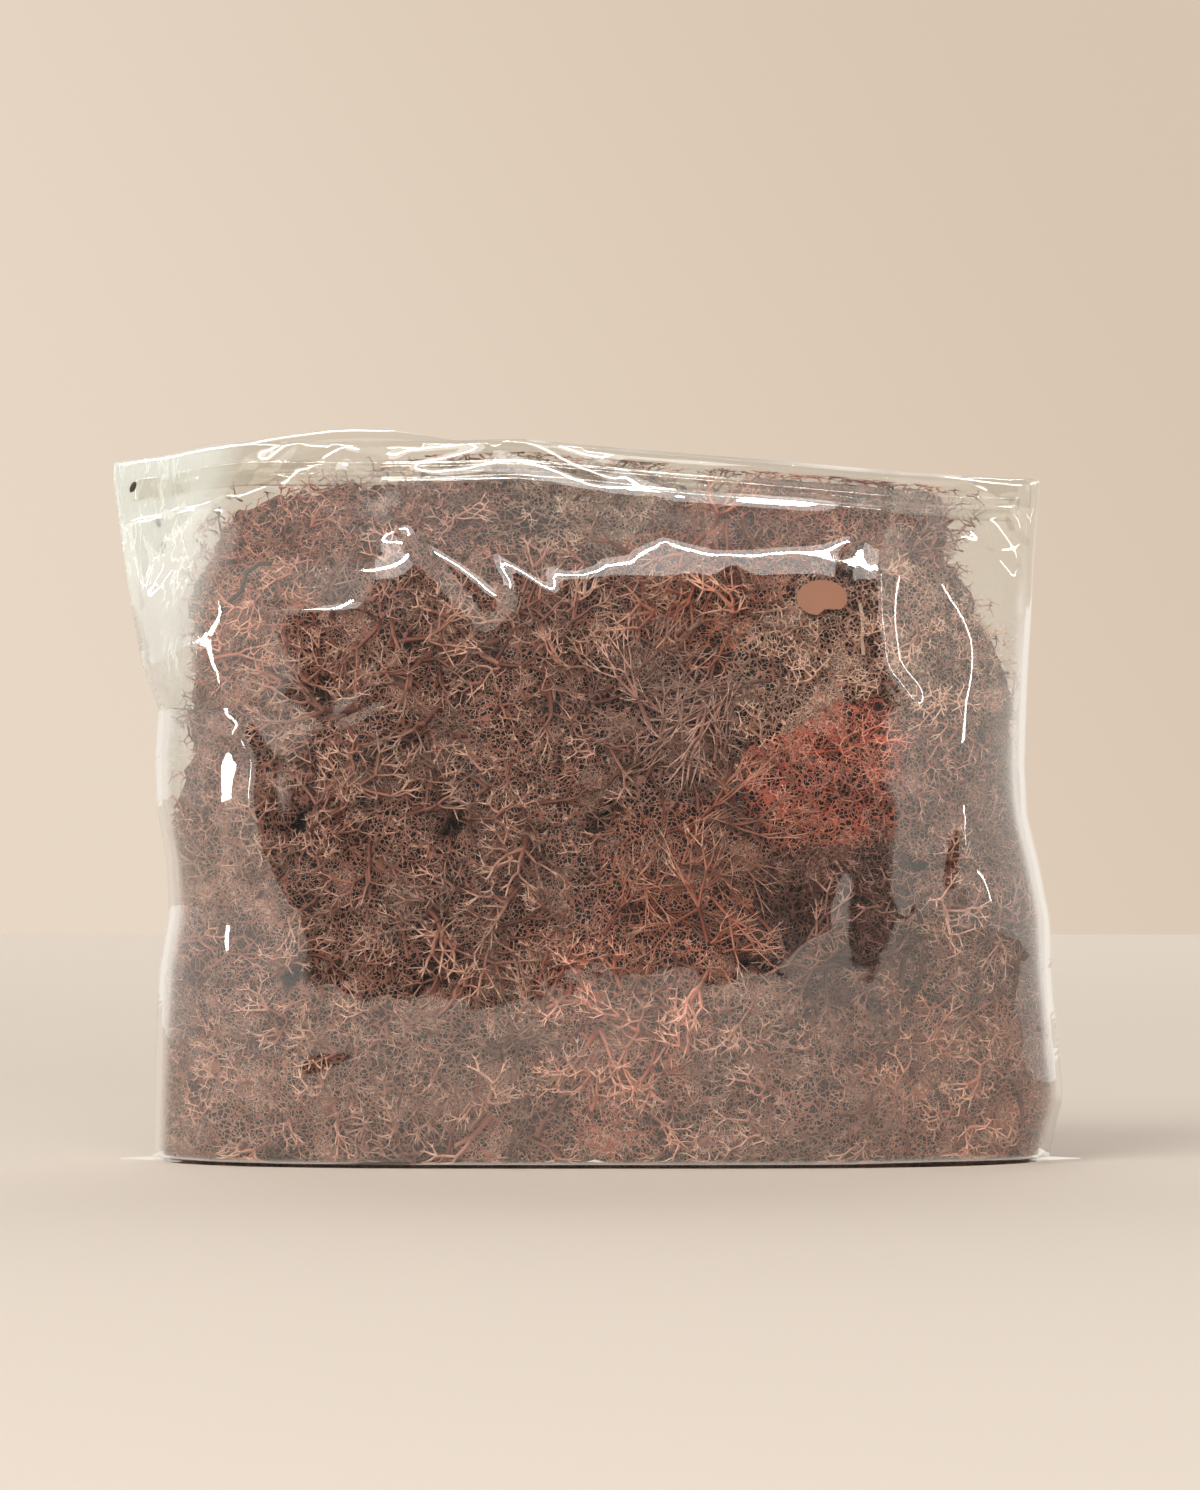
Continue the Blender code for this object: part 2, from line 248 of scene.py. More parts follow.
def lichen_skin() -> bpy.types.NodeTree:
    """Builds the group that all moss finishes share: darker stems, paler tips and a dry, pitted skin; on the inner
    mass, a lace of branch colours over painted shade.
    """
    white = (1.0, 1.0, 1.0)
    wiring, given, wanted = new_group(
        "lichen_skin",
        {"Stem": white, "Middle": white, "Tip": white, "Grey": white, "PaintedShade": white, "Mottle": 0.3,
         "Pitting": 0.5},
        ("Color", "Roughness", "Normal"),
    )
    place = wiring.add("UVMap", uv_map=COLOUR_MAP).outputs[0]
    parts = wiring.add("SeparateXYZ", {0: place})
    growth = parts.outputs[0]
    inner = wiring.math("GREATER_THAN", parts.outputs[1], BRANCH_SHARE)
    tone = wiring.math("DIVIDE", parts.outputs[1], BRANCH_SHARE)
    colour = wiring.blend(wiring.ramp(growth, 0.05, 0.42), given["Stem"], given["Middle"])
    colour = wiring.blend(wiring.ramp(growth, 0.36, 0.86), colour, given["Tip"])
    colour = wiring.blend(wiring.ramp(tone, 0.60, 1.0, 0.0, 0.6), colour, given["Grey"])
    stretched = wiring.add("Mapping", {"Vector": place, "Scale": (90.0, 500.0, 1.0)}).outputs[0]
    streaks = wiring.noise(stretched, 1.0, 2.0)
    shade = wiring.math("MULTIPLY_ADD", wiring.math("SUBTRACT", streaks, 0.5), given["Mottle"], 1.0)
    shade = wiring.math("MULTIPLY", shade, wiring.ramp(tone, 0.0, 1.0, 0.42, 1.60))
    grey_shade = wiring.add("CombineColor", {0: shade, 1: shade, 2: shade}).outputs[0]
    colour = wiring.blend(1.0, colour, grey_shade, "MULTIPLY")
    behind = wiring.tree.nodes.new("ShaderNodeGroup")
    behind.node_tree = shared_group("branch_net")
    lace, stems, patches = behind.outputs
    thread = wiring.blend(wiring.ramp(patches, 0.36, 0.60, 0.15, 1.0), given["Middle"], given["Tip"])
    thread = wiring.blend(0.22, thread, given["Stem"])
    lace = wiring.math("MULTIPLY", lace, wiring.ramp(patches, 0.30, 0.46, 0.25, 1.0))
    # On the inner mass: the lace in branch colours over painted shade, a near-black that stands for the shade deep
    # inside the moss
    meshes = wiring.blend(lace, given["PaintedShade"], thread)
    meshes = wiring.blend(stems, meshes, wiring.blend(0.70, given["Stem"], given["Middle"]))
    wiring.tree.links.new(wiring.blend(inner, colour, meshes), wanted["Color"])
    wiring.tree.links.new(wiring.ramp(streaks, 0.3, 0.7, 0.62, 0.9), wanted["Roughness"])
    pits = wiring.math("MULTIPLY", streaks, PIT_DEPTH)
    relief = wiring.math("MULTIPLY", wiring.math("MAXIMUM", wiring.math("MULTIPLY", lace, 0.6), stems), NET_DEPTH)
    height = wiring.add("Mix", {0: inner, 2: pits, 3: relief}).outputs[0]
    bump = wiring.add("Bump", {"Height": height, "Strength": given["Pitting"], "Distance": 1.0}).outputs[0]
    wiring.tree.links.new(bump, wanted["Normal"])
    return wiring.tree


def crinkle() -> bpy.types.NodeTree:
    """Builds the group that the film and the zip share: fine creases, scuffs and a milky veil, which in the crumpled
    upper left corner is thicker and whiter along the creases as painted highlights.
    """
    wiring, given, wanted = new_group(
        "film_crinkle", {"Crinkle": 0.2, "Veil": 0.05, "Scale": 60.0, "Crumple": 1.0}, ("Roughness", "Veil", "Normal")
    )
    place = wiring.add("TexCoord").outputs["Object"]
    broad = wiring.add("TexNoise", {"Vector": place, "Scale": given["Scale"], "Detail": 2.0}).outputs["Fac"]
    fine = wiring.noise(place, 900.0, 2.0)
    wiring.tree.links.new(wiring.ramp(fine, 0.35, 0.75, 0.022, 0.048), wanted["Roughness"])
    x, _, z = wiring.add("SeparateXYZ", {0: place}).outputs
    side = wiring.ramp(wiring.math("MULTIPLY_ADD", z, -0.18, x), *CORNER_X, 1.0, 0.0)
    corner = wiring.math("MULTIPLY", side, wiring.ramp(z, *CORNER_Z, 0.25, 1.0))
    corner = wiring.math("MULTIPLY", corner, given["Crumple"])
    upright = wiring.add("Mapping", {"Vector": place, "Rotation": (0.0, 0.15, 0.0), "Scale": (1.0, 1.0, 0.22)})
    ridges = wiring.add("TexNoise", {"Vector": upright.outputs[0], "Scale": 330.0, "Detail": 3.0,
                                     "Distortion": 0.25}).outputs["Fac"]
    ridges = wiring.math("ABSOLUTE", wiring.math("SUBTRACT", ridges, 0.5))
    ridges = wiring.ramp(ridges, 0.0, 0.030, 1.0, 0.0)
    ridges = wiring.math("MULTIPLY", ridges, wiring.ramp(wiring.noise(place, 70.0, 1.0), 0.42, 0.58))
    veil = wiring.math("MULTIPLY", given["Veil"], wiring.ramp(broad, 0.3, 0.7, 0.6, 1.5))
    # the corner's milky haze, whiter along the crease ridges as painted highlights
    milk_and_painted_glints = wiring.math("MULTIPLY", corner, wiring.ramp(ridges, 0.0, 1.0, 0.26, 0.62))
    wiring.tree.links.new(wiring.math("ADD", veil, milk_and_painted_glints), wanted["Veil"])
    height = wiring.math("MULTIPLY_ADD", wiring.math("MULTIPLY", ridges, corner), 0.35, broad)
    bump = wiring.add("Bump", {"Height": height, "Strength": given["Crinkle"], "Distance": 0.0008}).outputs[0]
    wiring.tree.links.new(bump, wanted["Normal"])
    return wiring.tree


def dry_grain() -> bpy.types.NodeTree:
    """Builds the group that the stems, crumbs and the leaf share: streaks of two colours and a dry bump."""
    grey = (0.5, 0.5, 0.5)
    wiring, given, wanted = new_group(
        "dry_grain", {"Dark": grey, "Light": grey, "Scale": 900.0, "Grain": 0.5}, ("Color", "Roughness", "Normal")
    )
    place = wiring.add("TexCoord").outputs["Object"]
    values = {"Vector": place, "Scale": given["Scale"], "Detail": 4.0, "Roughness": 0.6}
    streaks = wiring.add("TexNoise", values).outputs["Fac"]
    wiring.tree.links.new(wiring.blend(wiring.ramp(streaks, 0.35, 0.68), given["Dark"], given["Light"]),
                          wanted["Color"])
    wiring.tree.links.new(wiring.ramp(streaks, 0.3, 0.7, 0.55, 0.85), wanted["Roughness"])
    bump = wiring.add("Bump", {"Height": streaks, "Strength": given["Grain"], "Distance": 0.0001}).outputs[0]
    wiring.tree.links.new(bump, wanted["Normal"])
    return wiring.tree


def shared_group(name: str) -> bpy.types.NodeTree:
    """Returns one of the shared node groups, built when it is first asked for."""
    if name not in bpy.data.node_groups:
        {"branch_net": branch_net, "lichen_skin": lichen_skin, "film_crinkle": crinkle,
         "dry_grain": dry_grain}[name]()
    return bpy.data.node_groups[name]


@dataclass(frozen=True)
class Finish:
    """A material that is built when a piece first wears it."""

    name: str
    slot: str

    def wire(self, wiring: Wiring) -> bpy.types.NodeSocket:
        """Returns the shader of this finish, wired in the tree."""
        raise NotImplementedError

    def material(self) -> bpy.types.Material:
        """Returns the finish's material."""
        if self.name in bpy.data.materials:
            return bpy.data.materials[self.name]
        made = bpy.data.materials.new(self.name)
        made.use_nodes = True
        made.node_tree.nodes.clear()
        wiring = Wiring(made.node_tree)
        wiring.add("OutputMaterial", {"Surface": self.wire(wiring)})
        return made

    def dress(self, piece: bpy.types.Object) -> None:
        """Puts the finish on a piece, as its only material."""
        piece.data.materials.clear()
        piece.data.materials.append(self.material())


@dataclass(frozen=True)
class MossFinish(Finish):
    """The dry, dyed lichen of one tuft: from the inner stems out to the tips, with painted shade on its inner mass."""

    stem: Colour
    middle: Colour
    tip: Colour
    grey: Colour
    # painted shade: the near-black between the lace on the inner mass, standing for the shade deep inside the moss
    painted_depth_shade: Colour = (0.012, 0.0045, 0.0035)
    mottle: float = 0.5
    pitting: float = 0.8

    def wire(self, wiring: Wiring) -> bpy.types.NodeSocket:
        """Returns the shader of this finish, wired in the tree."""
        colours = {"Stem": self.stem, "Middle": self.middle, "Tip": self.tip, "Grey": self.grey,
                   "PaintedShade": self.painted_depth_shade}
        values = {key: (*value, 1.0) for key, value in colours.items()}
        values |= {"Mottle": self.mottle, "Pitting": self.pitting}
        skin = wiring.tree.nodes.new("ShaderNodeGroup")
        skin.node_tree = shared_group("lichen_skin")
        for key, value in values.items():
            skin.inputs[key].default_value = value
        links = {"Base Color": skin.outputs["Color"], "Roughness": skin.outputs["Roughness"],
                 "Normal": skin.outputs["Normal"], "Specular IOR Level": 0.35}
        return wiring.add("BsdfPrincipled", links).outputs[0]


@dataclass(frozen=True)
class FilmFinish(Finish):
    """Clear glossy film: it mirrors by its angle and is otherwise see-through with a faint veil, milkier in the
    crumpled upper left corner with painted highlights along its creases.
    """

    tint: Colour = (0.990, 0.994, 0.984)
    veil_colour: Colour = (0.90, 0.94, 0.91)
    veil: float = 0.006
    crinkle: float = 0.20
    scale: float = 55.0
    # how crumpled the upper left corner is, and how strongly its creases carry painted highlights
    crumple: float = 1.0          # of the upper left corner
    mirror: float = 3.2
    ior: float = 1.5

    def wire(self, wiring: Wiring) -> bpy.types.NodeSocket:
        """Returns the shader of this finish, wired in the tree."""
        creases = wiring.tree.nodes.new("ShaderNodeGroup")
        creases.node_tree = shared_group("film_crinkle")
        values = {"Crinkle": self.crinkle, "Veil": self.veil, "Scale": self.scale, "Crumple": self.crumple}
        for key, value in values.items():
            creases.inputs[key].default_value = value
        normal = creases.outputs["Normal"]
        clear = wiring.add("BsdfTransparent", {"Color": (*self.tint, 1.0)}).outputs[0]
        # the veil's diffuse white, which also carries the corner's painted highlights along its creases
        milk_and_painted_glints = wiring.add("BsdfDiffuse", {"Color": (*self.veil_colour, 1.0), "Normal": normal}).outputs[0]
        body = wiring.add("MixShader", {0: creases.outputs["Veil"], 1: clear, 2: milk_and_painted_glints}).outputs[0]
        gloss = wiring.add("BsdfGlossy", {"Color": (1.0, 1.0, 1.0, 1.0), "Roughness": creases.outputs["Roughness"],
                                          "Normal": normal}).outputs[0]
        mirrored = wiring.add("Fresnel", {"IOR": self.ior, "Normal": normal}).outputs[0]
        outer = wiring.math("SUBTRACT", 1.0, wiring.add("NewGeometry").outputs["Backfacing"])
        share = wiring.math("MINIMUM", wiring.math("MULTIPLY", mirrored, self.mirror), 1.0)
        share = wiring.math("MULTIPLY", share, outer)
        lit = wiring.math("SUBTRACT", 1.0, wiring.add("LightPath").outputs["Is Shadow Ray"])
        share = wiring.math("MULTIPLY", share, lit)
        return wiring.add("MixShader", {0: share, 1: body, 2: gloss}).outputs[0]


@dataclass(frozen=True)
class DryFinish(Finish):
    """A dead stem, a straw or a leaf: two colours in fine streaks, with a dry surface."""

    dark: Colour
    light: Colour
    scale: float = 900.0
    grain: float = 0.5

    def wire(self, wiring: Wiring) -> bpy.types.NodeSocket:
        """Returns the shader of this finish, wired in the tree."""
        grain = wiring.tree.nodes.new("ShaderNodeGroup")
        grain.node_tree = shared_group("dry_grain")
        values = {"Dark": (*self.dark, 1.0), "Light": (*self.light, 1.0), "Scale": self.scale, "Grain": self.grain}
        for key, value in values.items():
            grain.inputs[key].default_value = value
        links = {"Base Color": grain.outputs["Color"], "Roughness": grain.outputs["Roughness"],
                 "Normal": grain.outputs["Normal"]}
        return wiring.add("BsdfPrincipled", links).outputs[0]


BROWN = MossFinish("brown_moss", "moss_brown", (0.235, 0.084, 0.061), (0.395, 0.172, 0.127),
                   (0.730, 0.450, 0.352), (0.540, 0.345, 0.280))
RUST = MossFinish("rust_moss", "moss_brown", (0.275, 0.080, 0.052), (0.445, 0.165, 0.110),
                  (0.770, 0.435, 0.322), (0.560, 0.325, 0.247))
WISPY = MossFinish("wispy_brown_moss", "moss_brown", (0.225, 0.098, 0.077), (0.360, 0.180, 0.142),
                   (0.640, 0.400, 0.325), (0.470, 0.315, 0.265))
TAN = MossFinish("tan_moss", "moss_pale", (0.270, 0.116, 0.085), (0.500, 0.252, 0.186),
                 (0.890, 0.610, 0.480), (0.680, 0.490, 0.395))
PALE = MossFinish("pale_moss", "moss_pale", (0.270, 0.135, 0.100), (0.500, 0.295, 0.222),
                  (0.880, 0.640, 0.510), (0.740, 0.570, 0.470))
RED = MossFinish("red_moss", "moss_red", (0.350, 0.062, 0.040), (0.680, 0.190, 0.128),
                 (0.900, 0.440, 0.335), (0.680, 0.310, 0.245))
PINK = MossFinish("pink_moss", "moss_pink", (0.300, 0.088, 0.060), (0.520, 0.190, 0.132),
                  (0.860, 0.475, 0.360), (0.640, 0.370, 0.290))
DARK = MossFinish("dark_moss", "moss_dark", (0.080, 0.034, 0.028), (0.165, 0.068, 0.053),
                  (0.480, 0.255, 0.200), (0.260, 0.160, 0.135))
FILM = FilmFinish("clear_film", "film")
ZIP = FilmFinish("zip_film", "film", tint=(0.980, 0.968, 0.945), veil=0.035, crinkle=0.05, scale=20.0,
                 crumple=0.0)
DEAD_STEM = DryFinish("dead_stem", "dead_stem", (0.016, 0.010, 0.008), (0.075, 0.050, 0.042), 1500.0)
LEAF = DryFinish("dry_leaf", "dry_leaf", (0.300, 0.125, 0.085), (0.420, 0.200, 0.140), 500.0, 0.25)
STRAW = DryFinish("straw", "straw", (0.300, 0.200, 0.150), (0.560, 0.400, 0.310), 1200.0)


@dataclass(frozen=True)
class Facet:
    """A flat part of the front film that starts at a crease and leans back from there."""

    way: int                      # 1 when it lies to the right of its crease and -1 when to the left
    slope: float
    heights: tuple[float, ...]    # of points on its crease
    starts: tuple[float, ...]     # the x of those points


class FilmRoom:
    """The room inside the pouch: where the film's outline and its two webs lie."""

    step: float = 0.002
    blur: float = 0.0042
    edge_gap: float = 0.0004
    corner_drop: float = 0.0102   # from the mouth's highest point to its lower corner
    seal: float = 0.0044          # how far from the welded side edges the webs come together
    sealed_share: float = 0.015   # of the depth that is left at those edges
    foot: Span = (0.0070, 0.0026)     # depth and height of the curve of the webs' lower edges
    facets: tuple[Facet, ...] = (
        Facet(1, 0.43, (0.000, 0.030, 0.060, 0.100, 0.121, 0.141, 0.156, 0.180),
              (0.062, 0.066, 0.072, 0.0735, 0.0690, 0.0675, 0.0700, 0.0760)),
        Facet(-1, 0.30, (0.126, 0.136, 0.180), (-0.300, -0.052, -0.050)),
    )

    def __init__(self, front: bpy.types.Object, back: bpy.types.Object) -> None:
        """Reads both webs of the frame.

        Args:
            front: The front web's node.
            back: The back web's node.
        """
        low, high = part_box(front.name)
        self.bottom = low.z
        self.rows = np.linspace(low.z + self.edge_gap, high.z - self.corner_drop, 60)
        sides = [slice_points(front, 2, float(level))[:, 0] for level in self.rows]
        self.left = np.array([side.min() for side in sides])
        self.right = np.array([side.max() for side in sides])
        self.columns = np.linspace(self.left[-1] + self.edge_gap, self.right[-1] - self.edge_gap, 90)
        tops = {side: [slice_points(node, 0, float(x))[:, 2].max() for x in self.columns]
                for side, node in ((-1, front), (1, back))}
        self.tops = {side: np.array(values) for side, values in tops.items()}
        self.grid_x = np.arange(low.x, high.x + self.step, self.step)
        self.grid_z = np.arange(low.z, high.z + 2 * self.step, self.step)
        self.depths = {-1: self.read_depth(front, -1), 1: self.read_depth(back, 1)}

    def span(self, height: np.ndarray) -> tuple[np.ndarray, np.ndarray]:
        """Returns the film's left and right edges at a height."""
        return np.interp(height, self.rows, self.left), np.interp(height, self.rows, self.right)

    def top(self, x: np.ndarray, side: int) -> np.ndarray:
        """Returns the height of a web's edge at the mouth."""
        return np.interp(x, self.columns, self.tops[side])

    def read_depth(self, node: bpy.types.Object, side: int) -> np.ndarray:
        """Casts rays at a web and smooths what they find.

        Args:
            node: The web's node.
            side: -1 for the front web and 1 for the back one.

        Returns:
            How far the web lies from the middle plane, for each row and column of the grid.
        """
        tree = tree_of(node)
        depths = np.full((len(self.grid_z), len(self.grid_x)), np.nan)
        for row, z in enumerate(self.grid_z):
            for column, x in enumerate(self.grid_x):
                hit = tree.ray_cast(Vector((x, side * 0.5, z)), Vector((0.0, -side, 0.0)))[0]
                if hit is not None:
                    depths[row, column] = abs(hit.y)
        for row in depths:
            known = ~np.isnan(row)
            if known.any():
                row[~known] = np.interp(self.grid_x[~known], self.grid_x[known], row[known])
        for column in depths.T:
            known = ~np.isnan(column)
            column[~known] = np.interp(self.grid_z[~known], self.grid_z[known], column[known])
        reach = math.ceil(3 * self.blur / self.step)
        weights = np.exp(-0.5 * (np.arange(-reach, reach + 1) * self.step / self.blur) ** 2)
        weights /= weights.sum()
        for axis in (0, 1):
            padded = np.pad(depths, [(reach, reach) if axis == each else (0, 0) for each in (0, 1)], mode="edge")
            depths = np.apply_along_axis(lambda line: np.convolve(line, weights, mode="valid"), axis, padded)
        return depths

    def read(self, x: np.ndarray, z: np.ndarray, side: int) -> np.ndarray:
        """Returns how far a web of the frame lies from the middle plane at a place."""
        across = np.clip((x - self.grid_x[0]) / self.step, 0.0, len(self.grid_x) - 1.001)
        up = np.clip((z - self.grid_z[0]) / self.step, 0.0, len(self.grid_z) - 1.001)
        column, row = across.astype(int), up.astype(int)
        u, v = across - column, up - row
        grid = self.depths[side]
        low = grid[row, column] * (1 - u) + grid[row, column + 1] * u
        high = grid[row + 1, column] * (1 - u) + grid[row + 1, column + 1] * u
        return low * (1 - v) + high * v

    def openness(self, x: np.ndarray, z: np.ndarray) -> np.ndarray:
        """Returns 0 where the webs are welded together at the sides and 1 away from there."""
        left, right = self.span(z)
        return smooth_step(np.minimum(x - left, right - x), 0.0, self.seal)

    def depth(self, x: np.ndarray, z: np.ndarray, side: int) -> np.ndarray:
        """Returns how far a web lies from the middle plane at a place, with facets, welded sides and foot."""
        found = self.read(x, z, side)
        for facet in self.facets if side < 0 else ():
            start = np.interp(z, facet.heights, facet.starts)
            past = facet.way * (x - start)
            limit = self.read(start, z, side) - facet.slope * past
            found = np.where(past > 0.0, np.minimum(found, np.maximum(limit, 0.2 * found)), found)
        found = found * (self.sealed_share + (1.0 - self.sealed_share) * self.openness(x, z))
        curl = np.clip(1.0 - (z - self.bottom) / self.foot[1], 0.0, 1.0)
        return np.maximum(found - self.foot[0] * (1.0 - np.sqrt(1.0 - curl**2)), 0.3 * found)

    def lean(self, x: np.ndarray, z: np.ndarray, side: int, reach: float = 0.0012) -> np.ndarray:
        """Returns how far a web leans back at a place, per metre of height."""
        return (self.depth(x, z - reach, side) - self.depth(x, z + reach, side)) / (2 * reach)


@dataclass(frozen=True)
class Press:
    """How the film holds the moss back."""

    film_gap: float | np.ndarray = 0.0012
    ease: float = 0.0022
    side_gap: float = 0.0015
    top_gap: float = 0.0026
    floor: float = 0.0013

    def hold(self, points: np.ndarray, room: FilmRoom) -> np.ndarray:
        """Pushes points that would leave the pouch back under its film.

        Args:
            points: The points, as rows of three.
            room: The room in the pouch.

        Returns:
            The points, all inside the pouch.
        """
        x, y, z = points[..., 0], points[..., 1], points[..., 2]
        ease = np.full_like(x, self.ease)
        z = -softly_below(-z, np.full_like(x, -self.floor), ease)
        left, right = room.span(z)
        x = softly_below(x, right - self.side_gap, ease)
        x = -softly_below(-x, -(left + self.side_gap), ease)
        z = softly_below(z, room.top(x, -1) - self.top_gap, ease)
        side = np.where(y < 0.0, -1.0, 1.0)
        depth = np.where(y < 0.0, room.depth(x, z, -1), room.depth(x, z, 1))
        limit = depth - np.minimum(self.film_gap, 0.55 * depth)
        y = side * softly_below(np.abs(y), limit, np.minimum(ease, 0.5 * limit))
        return np.stack([x, y, z], axis=-1)


@dataclass(frozen=True)
class Growth:
    """How a sprig of one habit branches."""

    first: float                  # length of the first stretch
    shrink: float                 # of each next stretch
    thickness: float              # radius at the root
    thinning: float               # of each next stretch
    lean: Span                    # degrees between a branch and its own branches
    forks: tuple[int, ...]        # branches at the end of each stretch
    bend: float                   # how much a branch turns outwards
    wander: float                 # how unevenly it does
    tilt: Span                    # degrees between a sprig and the way out of the tuft
    root_depth: float = 0.0062    # how far before its place it starts


class Habit(Enum):
    """The ways in which a tuft grows."""

    CUSHION = Growth(0.0040, 0.74, 0.00064, 0.66, (30.0, 60.0), (3, 2, 3, 3), 0.50, 0.80, (25.0, 70.0))
    OPEN = Growth(0.0047, 0.75, 0.00080, 0.65, (28.0, 56.0), (3, 2, 3, 3), 0.50, 0.90, (45.0, 88.0))
    SPRAY = Growth(0.0056, 0.76, 0.00060, 0.66, (14.0, 36.0), (3, 2, 2, 3), 0.50, 0.50, (60.0, 88.0))
    FINE = Growth(0.0034, 0.72, 0.00046, 0.68, (34.0, 64.0), (3, 3, 3, 3), 0.45, 0.70, (10.0, 55.0), 0.0046)


@dataclass
class Stretch:
    """All branches of one level of the sprigs."""

    paths: np.ndarray     # branch, point, place
    radii: np.ndarray     # branch, point
    growth: np.ndarray    # for each point, 0 at the root and 1 at the tips
    tone: np.ndarray      # for each branch

    @property
    def pointed(self) -> bool:
        """Whether the branches end in tips."""
        return self.growth[-1] == 1.0


@dataclass
class Sprigs:
    """The sprigs of one tuft, as branch paths that become one mesh."""

    growth: Growth
    random: np.random.Generator
    stretches: list[Stretch] = field(default_factory=list)
    ring_shift: float = 0.002     # of the colour map from one corner of a branch to the next
    straight_levels: int = 5      # less than twice the forkings is how many levels have a point in their middle

    def grow(self, roots: np.ndarray, ways: np.ndarray, tones: np.ndarray, sizes: np.ndarray,
             forkings: int) -> None:
        """Grows sprigs all at once, level by level.

        Args:
            roots: Where each sprig starts.
            ways: The direction in which each grows.
            tones: How pale each is, from 0 to 1.
            sizes: How large each is, where 1 is as its habit says.
            forkings: How often each forks.
        """
        random, growth = self.random, self.growth
        levels = forkings + 1
        curved = max(2 * forkings - self.straight_levels, 1)
        start, way, outward, tone, size = roots, unit(ways), unit(ways), tones, sizes
        length, radius = growth.first, growth.thickness
        for level in range(levels):
            last = level == levels - 1
            points = 3 if level < curved else 2
            count = len(start)
            along = np.linspace(0.0, 1.0, points)[None, :, None]
            reach = length * (size * random.uniform(0.7, 1.3, count))[:, None, None]
            bend = unit(outward + growth.wander * random.normal(size=(count, 3)))[:, None, :]
            paths = start[:, None, :] + reach * (way[:, None, :] * along + bend * growth.bend * along**2)
            thin = np.linspace(1.0, 0.0 if last else growth.thinning, points)
            self.stretches.append(Stretch(paths, radius * size[:, None] * thin,
                                          np.linspace(level, level + 1, points) / levels, tone))
            if last:
                break
            forks = growth.forks[level]
            ahead = unit(paths[:, -1] - paths[:, -2])
            aside = unit(np.cross(ahead, random.normal(size=(count, 3))))
            across = np.cross(ahead, aside)
            turns = 2 * np.pi * (np.arange(forks) + random.uniform(-0.2, 0.2, (count, forks))) / forks
            leans = np.radians(random.uniform(*growth.lean, (count, forks)))
            ring = aside[:, None] * np.cos(turns)[..., None] + across[:, None] * np.sin(turns)[..., None]
            way = (ahead[:, None] * np.cos(leans)[..., None] + ring * np.sin(leans)[..., None]).reshape(-1, 3)
            start = np.repeat(paths[:, -1], forks, axis=0)
            outward = np.repeat(outward, forks, axis=0)
            size = np.repeat(size, forks)
            tone = np.clip(np.repeat(tone, forks) + random.normal(0.0, 0.05, count * forks), 0.0, 0.98)
            length *= growth.shrink
            radius *= growth.thinning

    def hold(self, press: Press, room: FilmRoom) -> None:
        """Presses every branch under the film."""
        for stretch in self.stretches:
            stretch.paths = press.hold(stretch.paths, room)

    def marks(self) -> np.ndarray:
        """Returns the place on the colour map of each vertex of the bevelled branches, in their order.

        The caps come first, from the last branch to the first and at each from its end to its root, and then
        the rings of all branches.
        """
        growth, tone = [], []
        for stretch in reversed(self.stretches):
            ends = stretch.growth[[0]] if stretch.pointed else stretch.growth[[-1, 0]]
            growth.append(np.tile(ends, len(stretch.paths)))
            tone.append(np.repeat(stretch.tone[::-1], len(ends)))
        for stretch in self.stretches:
            growth.append(np.tile(stretch.growth, len(stretch.paths)))
            tone.append(np.repeat(stretch.tone, len(stretch.growth)))
        growth, tone = (np.repeat(np.concatenate(each), 3) for each in (growth, tone))
        shifted = tone * (BRANCH_SHARE - 3 * self.ring_shift) + self.ring_shift * np.tile((0, 1, 2), len(tone) // 3)
        return np.stack([growth, shifted], axis=1)

    def mesh(self, name: str, profile: bpy.types.Object) -> bpy.types.Mesh:
        """Turns the branches into one mesh of closed, three-sided tubes.

        Args:
            name: The mesh's name.
            profile: The curve that is swept along each branch.

        Returns:
            The mesh, with its colour map.
        """
        curve = bpy.data.curves.new(name, "CURVE")
        curve.dimensions = "3D"
        curve.bevel_mode = "OBJECT"
        curve.bevel_object = profile
        curve.use_fill_caps = True
        for stretch in self.stretches:
            points = stretch.paths.shape[1]
            places = np.concatenate([stretch.paths, np.ones(stretch.paths.shape[:2] + (1,))], axis=2)
            for row, radii in zip(places.reshape(len(places), -1), stretch.radii):
                spline = curve.splines.new("POLY")
                spline.points.add(points - 1)
                spline.points.foreach_set("co", row)
                spline.points.foreach_set("radius", radii)
        holder = add_object(name, curve)
        mesh = bpy.data.meshes.new_from_object(holder.evaluated_get(bpy.context.evaluated_depsgraph_get()))
        bpy.data.objects.remove(holder)
        bpy.data.curves.remove(curve)
        while mesh.uv_layers:
            mesh.uv_layers.remove(mesh.uv_layers[0])
        corners = np.empty(len(mesh.loops), int)
        mesh.loops.foreach_get("vertex_index", corners)
        layer = mesh.uv_layers.new(name=COLOUR_MAP)
        layer.data.foreach_set("uv", self.marks()[corners].astype(np.float32).ravel())
        return mesh


@dataclass
class Roots:
    """Where the sprigs of one tuft grow from."""

    places: np.ndarray
    normals: np.ndarray
    sizes: np.ndarray
    flatness: np.ndarray          # how far the sprigs lie down, from 0 to 1
    levels: np.ndarray            # how often each forks
    shifts: np.ndarray            # how much paler than the tuft each is


